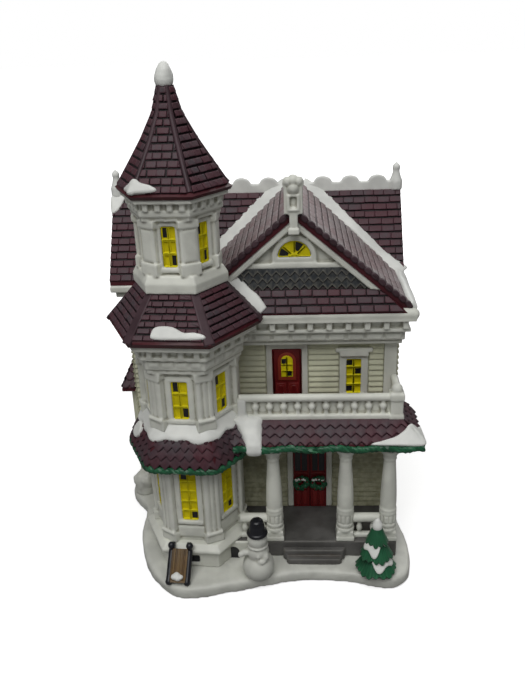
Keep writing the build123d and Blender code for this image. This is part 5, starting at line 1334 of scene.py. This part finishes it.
runners = Build().cad("sled_runners")
runner_profile = ((0.6, 1.6), (3, 1.3), (9, 1.4), (15.5, 1.5), (17.0, 2.2), (17.2, 3.4))
for side in (-4.4, 4.4):
    runners.tube([on_sled(side, along, lift) for along, lift in runner_profile], 1.5, 12)
    runners.ball(on_sled(side, 17.0, 3.0), 1.8)
    runners.ball(on_sled(side, 0.4, 1.4), 1.7)
place(soften(runners, "sled_runners_cast", fine * 0.7, 3), [black], "black_ceramic", ["sled_runners"])
sled = Build().cad("sled_deck")
for plank in range(9):
    left = -3.7 + plank * 0.82
    rise = 3.0 + dice.uniform(-0.15, 0.15)
    tile(sled, deck_top, rectangle(left, 1.0, left + 0.76, 15.6), rise, 0.2, dice.random(), sink=-1.6)
place(sharp(sled, "sled_deck_boards"), [brown], "brown_ceramic", ["sled_deck"])
sled_snow = Build()
for across, along, size in ((-1.6, 2.6, 1.7), (0.2, 2.2, 1.8), (1.4, 2.6, 1.4), (-0.6, 3.6, 1.5)):
    sled_snow.ball(on_sled(across, along, 2.9), (size, size, size * 0.8))
place(soften(sled_snow, "sled_snow", fine * 0.8), [snow], "snow_ceramic")

# Snow in the valleys of the roof and along its right eave
slope_normal = unit((0, -main_up[2], main_up[1]))
valley_line = (
    (gable_half + 0.8, 16.5, 130.6), (42.0, 23.2, 140.0), (31.4, 30.0, 149.6),
    (11.0, ridge_y - 2.6, ridge_z - 2.4), (3.4, ridge_y - 1.4, ridge_z + 1.4),
)
valleys = Build()
for side, widths in ((-1, (3.8, 4.3, 4.6, 5.6, 5.8)), (1, (5.4, 2.9, 3.2, 5.4, 5.8))):
    lean = slope_normal + np.array((side * 0.45, 0, 0.25))
    ribbon(valleys, [(gable_x + side * along, y, z) for along, y, z in valley_line], lean, widths, 1.8, 14)
saddle = ((gable_x - 12, 42.2, 167.0), (gable_x + 12, 42.2, 167.0))
ribbon(valleys, saddle, slope_normal, (3.4, 3.4), 1.5, 10)
eave_line = ((73.0, 17, 130.6), (73.2, 0, 130.3), (73.2, -20, 130.2), (73.2, -29.0, 129.8))
ribbon(valleys, eave_line, (0.6, 0, 0.8), (3.4, 2.7, 2.4, 2.2), 1.6, 12)
place(soften(valleys, "valley_snow_cast", fine, 10), [snow], "snow_ceramic", ["valley_snow"])

# Patches of snow on the roofs
patches = Build()
patch(
    patches, tower_slope(270, *middle_roof_levels)[0], 1.9, (-6.4, 1.2), (3, 0.9), (14.6, 1.4), (15.4, 3.2),
    (11, 4.4), (6.6, 4.3), (2.4, 6.4), (-2, 7.0), (-5.8, 6.2), (-7.2, 3.6),
)
patch(
    patches, tower_slope(270, *spire_foot_levels)[0], 1.7, (-13.4, 0.4), (-8, 0.5), (-2.2, 1.0), (-1.6, 2.4),
    (-4.4, 4.0), (-8.0, 5.0), (-10.4, 6.6), (-12.0, 3.6),
)
patch(
    patches, tower_slope(210, *spire_foot_levels)[0], 1.7, (5.0, 0.6), (9, 0.4), (13.4, 0.4), (12.2, 3.6),
    (10.4, 6.6), (8.0, 3.6),
)
patch(
    patches, porch_slope, 2.2, (54, 0.3), (66, -0.2), (77.8, -0.3), (76.4, 3.0), (73.8, 6.6), (71.6, 9.4),
    (69.4, 7.0), (65.4, 4.2), (60, 2.4),
)
patch(
    patches, porch_side, 2.2, (-50, -0.2), (-40, 0.2), (-36, 1.4), (-40, 4.0), (-41, 7.2), (-43.2, 9.2),
    (-46.0, 5.6),
)
patch(patches, front_slope, 1.5, (-0.4, 37), (3.0, 38), (5.4, 42), (7.6, 47.4), (-0.4, 47.4))
patch(
    patches, skirt, 2.3, (94, 9.0), (96.6, 6.2), (100.4, 6.0), (103.4, 8.2), (104, 11.4), (101, 13.8),
    (96, 13.6),
)
pent_line = ((-9, -26.6, 143.6), (-4, -27.2, 138.9), (0.8, -28.8, 134.6), (6.6, -31.0, 129.6))
ribbon(patches, pent_line, (-0.1, -0.85, 0.5), (3.6, 3.7, 3.9, 2.2), 1.2)
place(soften(patches, "roof_snow_cast", fine, 5), [snow], "snow_ceramic", ["roof_snow"])

# Drift between tower and porch roof: y, z, left and right round its section, swollen about its middle
drift_profile = (
    (-44.0, 65.8, -2.6, 4.6), (-50.8, 66.0, -2.8, 4.8), (-52.0, 68.4, -3.2, 5.2), (-51.4, 71.8, -2.6, 4.6),
    (-48.3, 75.8, -3.6, 3.2), (-45.1, 79.0, -5.6, 3.0), (-42.4, 81.2, -8.8, 3.6), (-39.4, 81.6, -9.2, 5.0),
    (-38.0, 79.0, -8.8, 4.0),
)
drift_y, drift_z = -44.5, 73.5
drift = Build()
drift_sections = []
drift_swells = (
    (0.0, 0.86), (0.05, 0.95), (0.15, 1.0), (0.5, 1.02), (0.85, 1.0), (0.95, 0.95), (1.0, 0.86),
)
for share, swell in drift_swells:
    section = []
    for y, z, left, right in drift_profile:
        x = left + (right - left) * share
        section.append((x, drift_y + (y - drift_y) * swell, drift_z + (z - drift_z) * swell))
    drift_sections.append(section)
drift.sweep(drift_sections)
drift.block((-6.6, -41.0, 78.0), (-2.6, -37.2, 91.2), 1.4)
place(soften(drift, "corner_snow_cast", fine, 24), [snow], "snow_ceramic", ["corner_snow"])

# Lamp: the CAD pieces themselves
for node, material in (
    ("lamp_socket", plain("socket_plastic", (0.80, 0.79, 0.74), 0.4)),
    ("lamp_clip", plain("spring_steel", (0.60, 0.60, 0.60), 0.25, metal=1.0)),
    ("bulb_cap", plain("cap_brass", (0.72, 0.56, 0.28), 0.25, metal=1.0)),
    ("bulb_glass", plain("bulb_clear", (0.93, 0.93, 0.91), 0.03, clear=1.0)),
):
    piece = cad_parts[node]
    piece.data.materials.clear()
    piece.data.materials.append(material)

# Camera, fitted to the photograph
yaw, pitch, roll = (math.radians(angle) for angle in (-3.37, -23.82, -2.19))
forward = Vector((math.sin(yaw) * math.cos(pitch), math.cos(yaw) * math.cos(pitch), math.sin(pitch)))
level = Vector((math.cos(yaw), -math.sin(yaw), 0))
above = level.cross(forward)
across = math.cos(roll) * level + math.sin(roll) * above
up = math.cos(roll) * above - math.sin(roll) * level
lens = bpy.data.cameras.new("camera")
lens.sensor_fit = "VERTICAL"
lens.sensor_height = 36.0
lens.lens = 730.06 * 36.0 / 700.0
lens.clip_start = 0.01
camera = bpy.data.objects.new("camera", lens)
scene.collection.objects.link(camera)
axes = Matrix((across, up, -forward)).transposed().to_4x4()
axes.translation = Vector((23.45, -336.15, 245.56)) * MM
camera.matrix_world = axes
scene.camera = camera

# Floor, light and background
floor_half, floor_level = 6.0, -0.0002
floor_mesh = bpy.data.meshes.new("floor")
floor_corners = rectangle(-floor_half, -floor_half, floor_half, floor_half)
floor_mesh.from_pydata([(x, y, floor_level) for x, y in floor_corners], [], [(0, 1, 2, 3)])
floor = bpy.data.objects.new("floor", floor_mesh)
scene.collection.objects.link(floor)
paint = Shader("floor")
sight = paint.step("LightPath", output="Is Camera Ray")
spread = paint.step("VectorMath", [(0, paint.coordinates)], "Value", operation="LENGTH")
glow = paint.sum("MULTIPLY", sight, paint.ease(spread, 0.12, 0.55, 0.55, 1.1))
paint.set(Base_Color=paint.mix(sight, (0.3, 0.3, 0.3), (0.86, 0.86, 0.86)), Roughness=0.9)
paint.set(Specular_IOR_Level=0.1, Emission_Color=(1, 1, 1), Emission_Strength=glow)
floor_mesh.materials.append(paint.material)

world = bpy.data.worlds.new("studio")
scene.world = world
world.use_nodes = True
sky = world.node_tree.nodes["Background"]
sight = world.node_tree.nodes.new("ShaderNodeLightPath")
shade = world.node_tree.nodes.new("ShaderNodeMix")
shade.data_type = "RGBA"
shade.inputs[6].default_value = (0.125, 0.125, 0.127, 1)
shade.inputs[7].default_value = (1, 1, 1, 1)
world.node_tree.links.new(sight.outputs["Is Camera Ray"], shade.inputs[0])
world.node_tree.links.new(shade.outputs[2], sky.inputs["Color"])
for name, position, power in (
    ("key_light", (-0.12, -0.60, 1.05), 9.0),
    ("top_light", (0.1, 0.1, 1.3), 1.4),
    ("rear_light", (0.35, 1.0, 0.75), 4.0),
):
    light = bpy.data.lights.new(name, "AREA")
    light.shape = "RECTANGLE"
    light.size, light.size_y = 0.9, 0.9
    light.energy = power
    lamp = bpy.data.objects.new(name, light)
    scene.collection.objects.link(lamp)
    lamp.location = position
    lamp.rotation_euler = (Vector((0, 0, 0.1)) - Vector(position)).to_track_quat("-Z", "Y").to_euler()
scene.view_settings.view_transform = "Standard"
